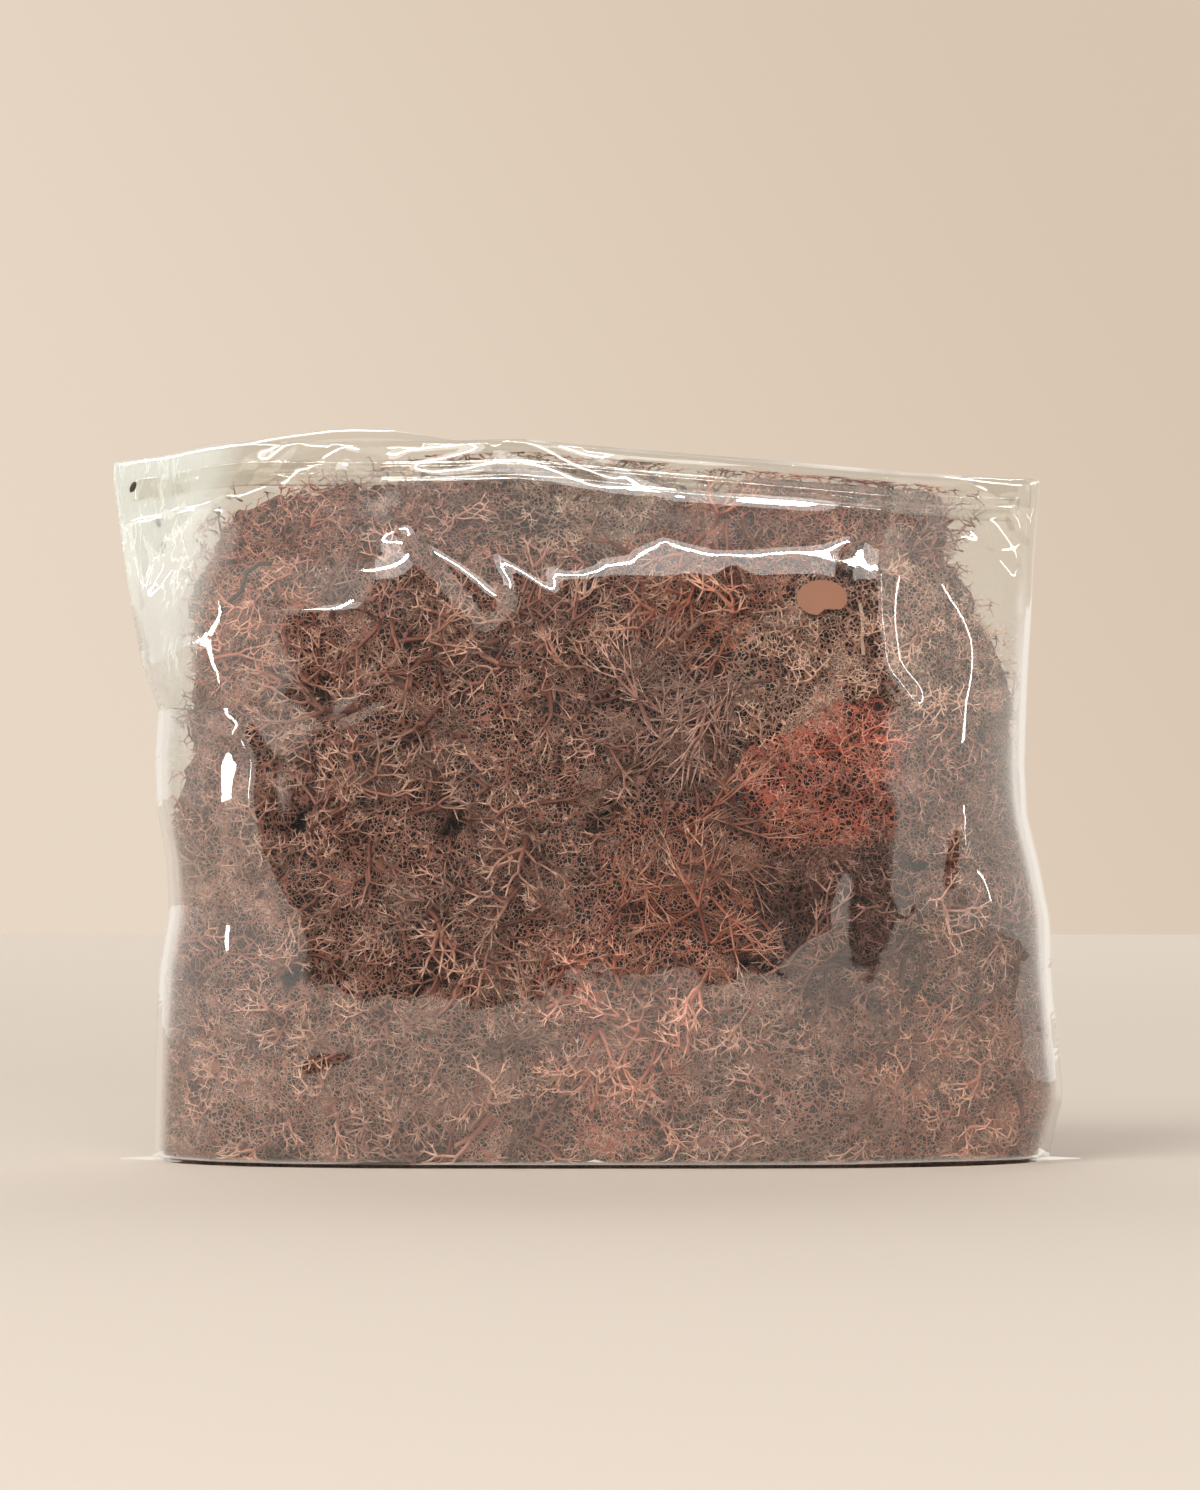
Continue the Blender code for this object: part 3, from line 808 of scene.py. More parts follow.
@dataclass
class Tuft:
    """One moss plant: an inner mass, painted dark as the shade deep inside the moss, and the sprigs that cover it."""

    name: str
    finish: MossFinish
    habit: Habit
    tone: float = 0.45            # how pale the tuft is
    comb: tuple[float, float, float] = (0.0, 0.0, 0.0)   # which way all its sprigs lean
    mass_inset: float = 0.0014    # of the inner mass, where nothing grows beside it
    overlap: float = 0.0050       # where another tuft or the pouch's lower edge is near
    overlap_reach: Span = (0.004, 0.011)
    lumps: float = 0.0048
    lump_size: float = 0.0085
    mass_gap: float = 0.0046      # from the film to the inner mass
    roughness: float = 0.0034     # of the inner mass, on top of its lumps
    rough_size: float = 0.0026
    fineness: int = 4             # of the inner mass
    crests: tuple[Span, ...] = ()     # where along x dark open sprigs stick out of its top

    @property
    def node(self) -> str:
        """The name of the frame's solid for this tuft."""
        return f"{self.name}_tuft"

    def middle(self) -> Vector:
        """Returns the middle of the tuft's solid."""
        low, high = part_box(self.node)
        return (low + high) / 2

    def freedom(self, spot: Vector, others: Callable[[Vector], float]) -> float:
        """Finds how free a place on the tuft's solid is of other tufts and of the pouch's lower edges.

        Args:
            spot: The place.
            others: Finds how far a place is from the nearest other tuft.

        Returns:
            0 where the inner mass grows on past the place and 1 where it stays inside.
        """
        x, z = np.array(abs(spot.x)), np.array(spot.z)
        beside = smooth_step(x, 0.080, 0.095) * (1.0 - smooth_step(z, 0.085, 0.110))
        above = smooth_step(z, 0.012, 0.022)
        return float(smooth_step(np.array(others(spot)), *self.overlap_reach) * above * (1.0 - beside))

    def mass(self, solid: bpy.types.Object, others: Callable[[Vector], float],
             room: FilmRoom) -> bpy.types.Mesh:
        """Makes the inner mass, which its finish paints dark as the shade deep inside the moss, lumpy on the outside
        and grown into the tufts beside it.

        Args:
            solid: The tuft's solid in the frame.
            others: Finds how far a place is from the nearest other tuft.
            room: The room in the pouch.

        Returns:
            The mesh, with its colour map.
        """
        tree, centre = tree_of(solid), self.middle()
        bm = bmesh.new()
        layer = bm.loops.layers.uv.new(COLOUR_MAP)
        bmesh.ops.create_icosphere(bm, subdivisions=self.fineness, radius=1.0, calc_uvs=True)
        gaps = []
        for vertex in bm.verts:
            way = vertex.co.normalized()
            hit = tree.ray_cast(centre, way)[0]
            reach = (hit - centre).length if hit is not None else 0.010
            spot = centre + way * reach
            free = self.freedom(spot, others)
            lump = self.lumps * max(noise.noise(spot / self.lump_size)
                                    + 0.5 * noise.noise(spot / (0.4 * self.lump_size)), -0.35)
            rough = self.roughness * noise.noise(spot / self.rough_size)
            inset = (self.mass_inset + 0.30 * lump) * free - self.overlap * (1.0 - free) + rough
            gaps.append(self.mass_gap + lump + 0.5 * rough)
            vertex.co = centre + way * max(reach - inset, 0.35 * reach)
        for face in bm.faces:
            for loop in face.loops:
                across, up = loop[layer].uv
                loop[layer].uv = (across, MASS_START + (1.0 - MASS_START) * up)
        places = np.array([vertex.co for vertex in bm.verts])
        press = Press(film_gap=np.array(gaps), ease=0.0010, side_gap=0.0011, top_gap=0.0040)
        for vertex, place in zip(bm.verts, press.hold(places, room)):
            vertex.co = place
        mesh = bpy.data.meshes.new(self.name + "_mass")
        bm.to_mesh(mesh)
        bm.free()
        return mesh

    def build(self, solid: bpy.types.Object, roots: Roots, others: Callable[[Vector], float], room: FilmRoom,
              profile: bpy.types.Object, seed: int) -> bpy.types.Object:
        """Grows the tuft and joins it to its inner mass.

        Args:
            solid: The tuft's solid in the frame.
            roots: Where its sprigs grow from.
            others: Finds how far a place is from the nearest other tuft.
            room: The room in the pouch.
            profile: The section of a branch.
            seed: Makes this tuft's chances its own.

        Returns:
            The finished tuft.
        """
        random = np.random.default_rng(seed)
        growth = self.habit.value
        count = len(roots.places)
        aside = unit(np.cross(roots.normals, random.normal(size=(count, 3))) + np.array(self.comb))
        tilts = np.radians(random.uniform(*growth.tilt, count) * roots.flatness)[:, None]
        ways = unit(roots.normals * np.cos(tilts) + aside * np.sin(tilts))
        starts = roots.places - ways * (growth.root_depth * roots.sizes[:, None])
        patches = np.array([noise.noise(Vector(place) / 0.015) for place in roots.places])
        tones = np.clip(self.tone + roots.shifts + 0.35 * patches + random.normal(0.0, 0.15, count), 0.02, 0.95)
        sprigs = Sprigs(growth, random)
        for forkings in np.unique(roots.levels):
            own = roots.levels == forkings
            sprigs.grow(starts[own], ways[own], tones[own], roots.sizes[own], int(forkings))
        sprigs.hold(Press(), room)
        bm = bmesh.new()
        for part in (self.mass(solid, others, room), sprigs.mesh(self.name + "_sprigs", profile)):
            bm.from_mesh(part)
            bpy.data.meshes.remove(part)
        bmesh.ops.remove_doubles(bm, verts=bm.verts[:], dist=1e-7)
        mesh = bpy.data.meshes.new(self.name + "_moss")
        bm.to_mesh(mesh)
        bm.free()
        mesh.shade_smooth()
        return add_object(self.name + "_moss", mesh)


@dataclass(frozen=True)
class Cover:
    """How sprigs cover one side of the clump."""

    spacing: float
    sizes: Span
    flatness: float               # how far the sprigs lie down, from 0 to 1
    levels: int                   # how often a sprig forks
    shift: float = 0.0            # how much paler than its tuft it is


class Face(Enum):
    """The sides of the clump."""

    FRONT = Cover(0.0053, (0.74, 1.45), 1.0, 4)
    BACK = Cover(0.0098, (1.00, 1.60), 1.0, 4)
    RIM = Cover(0.0037, (0.46, 0.72), 0.5, 3)
    CREST = Cover(0.0056, (0.90, 1.30), 0.35, 4, -0.55)
    BASE = Cover(0.0200, (1.10, 1.30), 0.8, 3)


@dataclass
class Clump:
    """All the tufts, packed against each other and the film."""

    tufts: list[Tuft]
    room: FilmRoom
    nodes: dict[str, bpy.types.Object]
    candidates: int = 900         # places tried on each tuft's own faces
    face_candidates: int = 9000   # places tried on each broad side
    root_gap: Span = (0.0012, 0.0044)    # from the film to a sprig's place on a broad side
    hollow_share: float = 0.34    # of a noise value above which no sprig grows
    stir: float = 0.010           # how far the tufts' borders wander
    side_top: float = 0.100       # below it the film presses the moss flat along both sides
    leaf_reach: float = 0.0100    # kept free round the leaf scrap
    rim_reach: float = 0.0065     # from the clump's outline, within which sprigs stay small

    def __post_init__(self) -> None:
        """Joins all tufts' triangles in one tree and keeps whose each is."""
        corners = [triangles_of(self.nodes[tuft.node]) for tuft in self.tufts]
        self.owners = np.repeat(np.arange(len(corners)), [len(each) for each in corners])
        self.tree = tree_of(*(self.nodes[tuft.node] for tuft in self.tufts))
        self.random = np.random.default_rng(11)

    def gap_to_others(self, place: Vector, owner: int, reach: float = 0.012) -> float:
        """Returns how far a place is from the nearest tuft but its own."""
        found = self.tree.find_nearest_range(place, reach)
        return min((gap for _, _, index, gap in found if self.owners[index] != owner), default=reach)

    def rim_samples(self, owner: int) -> list[tuple]:
        """Tries places on one tuft's faces and keeps those at the clump's rim and base.

        Args:
            owner: The tuft's number.

        Returns:
            For each place its tuft, the place, the way its face looks and its side of the clump.
        """
        corners = triangles_of(self.nodes[self.tufts[owner].node])
        cross = np.cross(corners[:, 1] - corners[:, 0], corners[:, 2] - corners[:, 0])
        area = np.linalg.norm(cross, axis=1)
        chosen = self.random.choice(len(corners), self.candidates, p=area / area.sum())
        first, second = np.sort(self.random.random((2, self.candidates)), axis=0)
        shares = np.stack([first, second - first, 1.0 - second], axis=1)
        places = (corners[chosen] * shares[:, :, None]).sum(axis=1)
        kept = []
        for place, normal in zip(places, unit(cross[chosen])):
            if normal[2] < -0.75 and place[2] < 0.012:
                kept.append((owner, place, normal, Face.BASE))
            elif place[2] < self.side_top and abs(normal[0]) > 0.5:
                continue
            elif normal[2] > 0.4 and any(low < place[0] < high for low, high in self.tufts[owner].crests):
                kept.append((owner, place, normal, Face.CREST))
            elif abs(normal[1]) < 0.75 and self.gap_to_others(Vector(place), owner) > 0.0050:
                kept.append((owner, place, normal, Face.RIM))
        return kept

    def broad_samples(self, side: int) -> list[tuple]:
        """Tries places all over the front or the back of the clump, close under the film.

        Args:
            side: -1 for the front and 1 for the back.

        Returns:
            For each place its tuft, the place, the way out and its side of the clump.
        """
        low = np.array([self.room.left.min(), 0.003])
        high = np.array([self.room.right.max(), 0.176])
        leaf = sum(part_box("leaf_scrap"), Vector()) / 2
        kept = []
        for x, z in self.random.uniform(low, high, (self.face_candidates, 2)):
            depth = float(self.room.depth(np.array(x), np.array(z), side))
            if depth < 0.004 or (side < 0 and math.hypot(x - leaf.x, z - leaf.z) < self.leaf_reach):
                continue
            spot = Vector((x, side * (depth - 0.004), z))
            if noise.noise(spot / 0.0105) > self.hollow_share:
                continue
            stirred = spot + Vector((noise.noise(spot / 0.013), 0.0, noise.noise((spot + Vector((3, 3, 3))) / 0.013))
                                    ) * self.stir
            hit, _, index, gap = self.tree.find_nearest(stirred)
            outside = self.tree.find_nearest(spot)[3]
            if gap > 0.010 or outside > 0.0065:
                continue
            root = np.array((x, side * (depth - self.random.uniform(*self.root_gap)), z))
            face = Face.RIM if self.near_outline(x, z) else Face.FRONT if side < 0 else Face.BACK
            kept.append((int(self.owners[index]), root, np.array((0.0, float(side), 0.0)), face))
        return kept

    def near_outline(self, x: float, z: float) -> bool:
        """Returns whether a place seen from the front is close to the clump's outline."""
        around = ((self.rim_reach, 0.0), (-self.rim_reach, 0.0), (0.0, self.rim_reach))
        return any(self.tree.ray_cast(Vector((x + across, -0.5, z + up)), Vector((0.0, 1.0, 0.0)))[0] is None
                   for across, up in around)

    def plant(self) -> list[Roots]:
        """Chooses evenly spaced roots over the whole clump.

        Returns:
            The roots of each tuft.
        """
        rows = self.broad_samples(-1) + self.broad_samples(1)
        for owner in range(len(self.tufts)):
            rows += self.rim_samples(owner)
        places = np.array([row[1] for row in rows])
        taken: list[int] = []
        for number in self.random.permutation(len(rows)):
            if taken:
                gaps = np.linalg.norm(places[taken] - places[number], axis=1)
                if gaps.min() < rows[number][3].value.spacing:
                    continue
            taken.append(int(number))
        planted = []
        for owner in range(len(self.tufts)):
            own = [rows[number] for number in sorted(taken) if rows[number][0] == owner]
            covers = [row[3].value for row in own]
            low, high = np.array([cover.sizes for cover in covers]).T
            planted.append(Roots(np.array([row[1] for row in own]), np.array([row[2] for row in own]),
                                 low + self.random.random(len(own)) ** 2 * (high - low),
                                 np.array([cover.flatness for cover in covers]),
                                 np.array([cover.levels for cover in covers]),
                                 np.array([cover.shift for cover in covers])))
        return planted

    def build(self) -> None:
        """Grows every tuft, dresses it and lets it stand for its solid in the frame."""
        profile = branch_profile()
        for number, (tuft, roots) in enumerate(zip(self.tufts, self.plant())):
            others = functools.partial(self.gap_to_others, owner=number)
            piece = tuft.build(self.nodes[tuft.node], roots, others, self.room, profile, 100 + number)
            tuft.finish.dress(piece)
            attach(piece, BODY)
            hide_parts(tuft.node)
            LOG.info("%s: %d sprigs, %d faces", piece.name, len(roots.places), len(piece.data.polygons))
        bpy.data.objects.remove(profile)


def branch_profile() -> bpy.types.Object:
    """Makes the three-sided section of a branch, with a radius of one metre that each point scales down."""
    section = bpy.data.curves.new("branch_section", "CURVE")
    section.dimensions = "3D"
    spline = section.splines.new("POLY")
    spline.points.add(2)
    for number, point in enumerate(spline.points):
        turn = 2 * math.pi * number / 3
        point.co = (math.cos(turn), math.sin(turn), 0.0, 1.0)
    spline.use_cyclic_u = True
    return add_object("branch_section", section)


@dataclass(frozen=True)
class Camera:
    """The camera, level and square to the pouch's front."""

    lens: float = 150.0
    sensor: float = 36.0
    x: float = 0.001
    height: float = 0.1017
    front: float = -0.040          # where the scale below holds
    scale: float = 4188.0          # pixels to the metre
    size: tuple[int, int] = (1200, 1490)

    @property
    def focal(self) -> float:
        """The focal length in pixels."""
        return self.lens / self.sensor * self.size[1]

    @property
    def y(self) -> float:
        """The camera's place along Y."""
        return self.front - self.focal / self.scale

    def build(self) -> None:
        """Makes the camera and the scene looks through it."""
        data = bpy.data.cameras.new("camera")
        data.lens, data.sensor_width = self.lens, self.sensor
        made = add_object("camera", data)
        made.location = (self.x, self.y, self.height)
        made.rotation_euler = (math.pi / 2, 0.0, 0.0)
        bpy.context.scene.camera = made

    def on_film(self, pixel: Pixel, room: FilmRoom) -> tuple[float, float]:
        """Finds where a pixel lies on the front web.

        Args:
            pixel: The pixel, across and down.
            room: The room in the pouch.

        Returns:
            The place's x and height.
        """
        depth = self.front
        for _ in range(4):
            away = (depth - self.y) / self.focal
            x = self.x + (pixel[0] - self.size[0] / 2) * away
            z = self.height + (self.size[1] / 2 - pixel[1]) * away
            depth = -float(room.depth(np.array(x), np.array(z), -1))
        return x, z


@dataclass(frozen=True)
class Fold:
    """A fold of the film along a route through the photograph's pixels."""

    route: tuple[Pixel, ...]
    rise: float = 0.0010          # above the film; below zero it is a dent
    width: float = 0.0018         # across half of it
    fade: float = 0.006           # at each end
    aim: float | None = None      # the lean that its lower flank gives the film, which catches the overhead light
    steepest: float = 0.607       # lean of its flank, for a rise as large as its width
    excess: float = 1.14          # how far it goes past that aim

    def strengths(self, leans: np.ndarray) -> np.ndarray:
        """Returns how strong the fold is at each point of its route, where the film leans back so far below it."""
        if self.aim is None:
            return np.ones(len(leans))
        return self.excess * np.abs(leans - self.aim) / (self.steepest * self.rise / self.width)

    def height(self, places: np.ndarray, corners: np.ndarray, strengths: np.ndarray) -> np.ndarray:
        """Finds how far the fold lifts the film.

        Args:
            places: Rows of x and height on the film.
            corners: The route's points in the same terms.
            strengths: How strong the fold is at each of those points.

        Returns:
            The lift at each place.
        """
        lengths = np.linalg.norm(np.diff(corners, axis=0), axis=1)
        run = np.concatenate([[0.0], np.cumsum(lengths)])
        nearest = np.full(len(places), np.inf)
        along = np.zeros(len(places))
        for number, length in enumerate(lengths):
            first, way = corners[number], (corners[number + 1] - corners[number]) / length
            share = np.clip((places - first) @ way, 0.0, length)
            apart = np.linalg.norm(places - first - share[:, None] * way, axis=1)
            closer = apart < nearest
            nearest = np.where(closer, apart, nearest)
            along = np.where(closer, run[number] + share, along)
        ends = smooth_step(np.minimum(along, run[-1] - along), -0.5 * self.fade, self.fade)
        return self.rise * np.interp(along, run, strengths) * ends * np.exp(-0.5 * (nearest / self.width) ** 2)


FRONT_FOLDS = {
    "mouth_to_middle": Fold(((511, 440), (542, 450), (580, 467), (612, 479)), 0.0010, 0.0013),
    "mouth_to_right_shoulder": Fold(((600, 462), (645, 479), (678, 487), (739, 489), (808, 494), (868, 498)),
                                    0.0026, 0.0030, aim=0.576, excess=1.04),
    "middle_to_right_shoulder": Fold(((563, 591), (596, 561), (628, 549), (661, 529), (717, 542), (743, 543),
                                      (824, 538), (868, 524)), 0.0022, 0.0034, aim=0.576),
    "left_wedge": Fold(((395, 484), (416, 519), (444, 550), (465, 575), (479, 592), (507, 620)), 0.0034, 0.0042),
    "left_wedge_upper": Fold(((395, 484), (441, 499), (476, 526), (511, 561), (560, 606)), 0.0011, 0.0019),
    "corner_to_mouth": Fold(((176, 519), (185, 506), (217, 489), (256, 466), (297, 442)), 0.0009, 0.0012),
    "corner_long": Fold(((146, 597), (164, 565), (176, 547), (207, 515), (239, 489), (267, 469), (297, 442)),
                        0.0010, 0.0012),
    "corner_edge": Fold(((118, 480), (121, 522), (136, 558), (141, 600)), 0.0009, 0.0011),
    "corner_upright": Fold(((166, 470), (166, 500), (176, 519)), 0.0008, 0.0010),
    "corner_low": Fold(((143, 672), (162, 661), (187, 643), (200, 636)), 0.0009, 0.0012),
    "corner_fan": Fold(((141, 520), (152, 545), (166, 570)), 0.0008, 0.0010),
    "left_zigzag": Fold(((235, 442), (281, 477), (290, 473), (332, 501), (350, 517), (381, 531), (399, 526),
                         (413, 515)), 0.0011, 0.0018),
    "left_loop_upper": Fold(((318, 463), (343, 459), (371, 468), (395, 484)), 0.0010, 0.0017),
    "left_loop_lower": Fold(((318, 463), (360, 489), (385, 510), (413, 513)), 0.0010, 0.0017),
    "left_mouth": Fold(((397, 482), (413, 463), (458, 456), (486, 449)), 0.0010, 0.0017),
    "right_upright": Fold(((888, 528), (881, 545), (878, 579), (879, 621), (884, 664), (892, 677),
                           (918, 709)), 0.0017, 0.0020),
    "right_corner_short": Fold(((898, 516), (921, 524), (951, 527)), 0.0011, 0.0018),
    "right_corner_long": Fold(((964, 525), (1033, 569)), 0.0011, 0.0018),
    "right_corner_top": Fold(((930, 500), (980, 494), (1022, 487)), 0.0009, 0.0013),
    "right_corner_cross": Fold(((1005, 505), (1016, 528), (1033, 545)), 0.0008, 0.0011),
    "right_corner_fall": Fold(((1033, 569), (1016, 592), (1003, 617)), 0.0008, 0.0012),
    "right_flap": Fold(((901, 911), (911, 918), (956, 893), (966, 822)), 0.0012, 0.0017),
    "low_streak_left": Fold(((842, 870), (808, 956)), 0.0012, 0.0018),
    "low_streak_right": Fold(((842, 911), (822, 953)), 0.0010, 0.0016),
    "left_crease_upper": Fold(((199, 677), (300, 706), (328, 722)), 0.0013, 0.0022),
    "left_crease_rise": Fold(((328, 722), (395, 687)), 0.0011, 0.0020),
    "left_curl": Fold(((213, 733), (241, 733), (255, 761), (252, 800), (262, 850), (280, 890), (300, 920)),
                      0.0014, 0.0020),
}


@dataclass
class Web:
    """A broad web of the film, draped over the moss."""

    node: str
    side: int
    room: FilmRoom
    camera: Camera
    folds: dict[str, Fold] = field(default_factory=dict)
    spacing: float = 0.0019
    thickness: float = 0.00014
    fold_reach: float = 0.0052    # the mesh is finer within it
    wave_size: float = 0.030
    wave_rise: float = 0.0009
    crease_size: float = 0.011
    crease_rise: float = 0.00022
    calm: float = 1.0             # of the waves low in the middle
    calm_top: Span = (0.058, 0.086)
    calm_side: Span = (0.052, 0.074)
    reach: float = 0.0012         # over which a lean is read
    passes: int = 3               # to settle folds that lie close together

    def place(self, across: np.ndarray, up: np.ndarray) -> tuple[np.ndarray, np.ndarray]:
        """Returns x and height for places on the web given as shares from 0 to 1."""
        guess = self.room.columns[0] + across * (self.room.columns[-1] - self.room.columns[0])
        height = self.room.bottom + up * (self.room.top(guess, self.side) - self.room.bottom)
        left, right = self.room.span(height)
        return left + across * (right - left), height

    def settle(self) -> dict[str, tuple[np.ndarray, np.ndarray]]:
        """Finds how strong each fold is, with the lean that the waves and the other folds leave along it.

        Returns:
            The points of the crest and the strength at each of them, for each fold's name.
        """
        routes = {name: np.array([self.camera.on_film(pixel, self.room) for pixel in fold.route])
                  for name, fold in self.folds.items()}
        settled = {name: (route, np.ones(len(route))) for name, route in routes.items()}
        aimed = [name for name, fold in self.folds.items() if fold.aim is not None]
        for name in aimed * self.passes:
            flank = routes[name] - (0.0, self.folds[name].width)
            leans = self.room.lean(flank[:, 0], flank[:, 1], self.side)
            for way in (-1.0, 1.0):
                places = flank + (0.0, way * self.reach)
                lift = self.waves(*places.T) + sum(self.folds[other].height(places, *settled[other])
                                                   for other in settled if other != name)
                leans -= way * lift / (2 * self.reach)
            settled[name] = routes[name], self.folds[name].strengths(leans)
        return settled

    def lift(self, x: np.ndarray, z: np.ndarray) -> np.ndarray:
        """Returns how far folds and waves lift the film at each place."""
        places = np.stack([x, z], axis=1)
        total = self.waves(x, z)
        for name, shape in self.settle().items():
            total += self.folds[name].height(places, *shape)
        return total

    def waves(self, x: np.ndarray, z: np.ndarray) -> np.ndarray:
        """Returns how far slack waves and small creases lift the film at each place."""
        places = np.stack([x, z], axis=1)
        shift = 7.0 * self.side
        waves = np.empty(len(x))
        for number, (across, up) in enumerate(places):
            spot = Vector((across, shift, up))
            crease = abs(noise.noise(spot / self.crease_size)) - 0.2
            waves[number] = noise.noise(spot / self.wave_size) * self.wave_rise - crease * self.crease_rise
        low = (1.0 - smooth_step(z, *self.calm_top)) * (1.0 - smooth_step(np.abs(x - 0.012), *self.calm_side))
        return waves * (1.0 - (1.0 - self.calm) * low)

    def build(self) -> bpy.types.Object:
        """Drapes the web.

        Returns:
            The web as a thin closed sheet.
        """
        width = self.room.columns[-1] - self.room.columns[0]
        height = float(self.room.tops[self.side].max())
        bm = bmesh.new()
        bmesh.ops.create_grid(bm, x_segments=round(width / self.spacing), y_segments=round(height / self.spacing),
                              size=0.5)
        bmesh.ops.translate(bm, vec=(0.5, 0.5, 0.0), verts=bm.verts[:])
        foot = [edge for edge in bm.edges if abs(edge.verts[0].co.x - edge.verts[1].co.x) < 1e-6
                and max(vertex.co.y for vertex in edge.verts) < 2.5 * self.spacing / height]
        bmesh.ops.subdivide_edges(bm, edges=foot, cuts=3, use_grid_fill=True)
        if self.folds:
            self.refine(bm)
        shares = np.array([vertex.co for vertex in bm.verts])
        x, z = self.place(shares[:, 0], shares[:, 1])
        y = self.room.depth(x, z, self.side) + self.lift(x, z) * self.room.openness(x, z)
        for vertex, spot in zip(bm.verts, zip(x, self.side * y, z)):
            vertex.co = spot
        bmesh.ops.recalc_face_normals(bm, faces=bm.faces[:])
        if bm.faces[0].normal.y * self.side < 0.0:
            bmesh.ops.reverse_faces(bm, faces=bm.faces[:])
        bmesh.ops.solidify(bm, geom=bm.faces[:], thickness=self.thickness)
        mesh = bpy.data.meshes.new(self.node.replace("film", "web"))
        bm.to_mesh(mesh)
        bm.free()
        mesh.shade_smooth()
        return add_object(self.node.replace("film", "web"), mesh)

    def refine(self, bm: bmesh.types.BMesh) -> None:
        """Halves the mesh along the folds."""
        shares = np.array([vertex.co for vertex in bm.verts])
        x, z = self.place(shares[:, 0], shares[:, 1])
        places = np.stack([x, z], axis=1)
        near = np.zeros(len(places), bool)
        for fold in self.folds.values():
            corners = np.array([self.camera.on_film(pixel, self.room) for pixel in fold.route])
            wide = Fold(fold.route, 1.0, self.fold_reach / 2)
            near |= wide.height(places, corners, np.ones(len(corners))) > 0.14
        edges = [edge for edge in bm.edges if near[edge.verts[0].index] and near[edge.verts[1].index]]
        bmesh.ops.subdivide_edges(bm, edges=edges, cuts=1, use_grid_fill=True)


@dataclass
class ZipTrack:
    """One half of the press-to-close zip: a ribbed strip along the inside of a web."""

    node: str
    side: int
    room: FilmRoom
    columns: int = 110
    inset: float = 0.0045         # from each side edge
    drop: float = 0.0075          # below the mouth's edge
    height: float = 0.0056
    gap: float = 0.00045          # to the web
    thickness: float = 0.00030
    ribs: tuple[tuple[float, float], ...] = ((0.0, 0.0), (0.10, 0.00035), (0.20, 0.0), (0.40, 0.0),
                                             (0.46, 0.00060), (0.54, 0.00060), (0.60, 0.0), (0.80, 0.0),
                                             (0.90, 0.00035), (1.0, 0.0))

    def build(self) -> bpy.types.Object:
        """Presses the ribs along the web and gives the strip its thickness.

        Returns:
            The strip as a closed solid.
        """
        bm = bmesh.new()
        bmesh.ops.create_grid(bm, x_segments=self.columns, y_segments=len(self.ribs) - 1, size=0.5)
        first, last = self.room.columns[0] + self.inset, self.room.columns[-1] - self.inset
        for vertex in bm.verts:
            share, rise = self.ribs[round((vertex.co.y + 0.5) * (len(self.ribs) - 1))]
            x = first + (vertex.co.x + 0.5) * (last - first)
            z = float(self.room.top(np.array(x), -1)) - self.drop + (share - 0.5) * self.height
            depth = float(self.room.depth(np.array(x), np.array(z), self.side))
            vertex.co = (x, self.side * max(depth - self.gap - rise, 0.00012), z)
        bmesh.ops.recalc_face_normals(bm, faces=bm.faces[:])
        if bm.faces[0].normal.y * self.side < 0.0:
            bmesh.ops.reverse_faces(bm, faces=bm.faces[:])
        bmesh.ops.solidify(bm, geom=bm.faces[:], thickness=self.thickness)
        mesh = bpy.data.meshes.new(self.node + "_ribbed")
        bm.to_mesh(mesh)
        bm.free()
        mesh.shade_smooth()
        return add_object(self.node + "_ribbed", mesh)


@dataclass(frozen=True)
class Softbox:
    """A soft rectangular light that looks at the pouch."""

    name: str
    azimuth: float       # degrees from the camera's side of the pouch, to the right
    elevation: float
    distance: float
    size: tuple[float, float]
    radiance: float
    colour: Colour = (1.0, 0.97, 0.93)
    mirrored: bool = True         # whether the film mirrors it
    lighting: bool = True         # whether it lights what is not mirrored
    target: tuple[float, float, float] = (0.0, 0.0, 0.09)

    def build(self) -> None:
        """Hangs the light."""
        data = bpy.data.lights.new(self.name, "AREA")
        data.shape = "RECTANGLE"
        data.size, data.size_y = self.size
        data.energy = self.radiance * math.pi * self.size[0] * self.size[1]
        data.color = self.colour
        turn, rise = math.radians(self.azimuth), math.radians(self.elevation)
        away = Vector((math.sin(turn) * math.cos(rise), -math.cos(turn) * math.cos(rise), math.sin(rise)))
        made = add_object(self.name, data)
        made.location = Vector(self.target) + away * self.distance
        made.rotation_euler = away.to_track_quat("Z", "Y").to_euler()
        made.visible_glossy = self.mirrored
        made.visible_diffuse = self.lighting


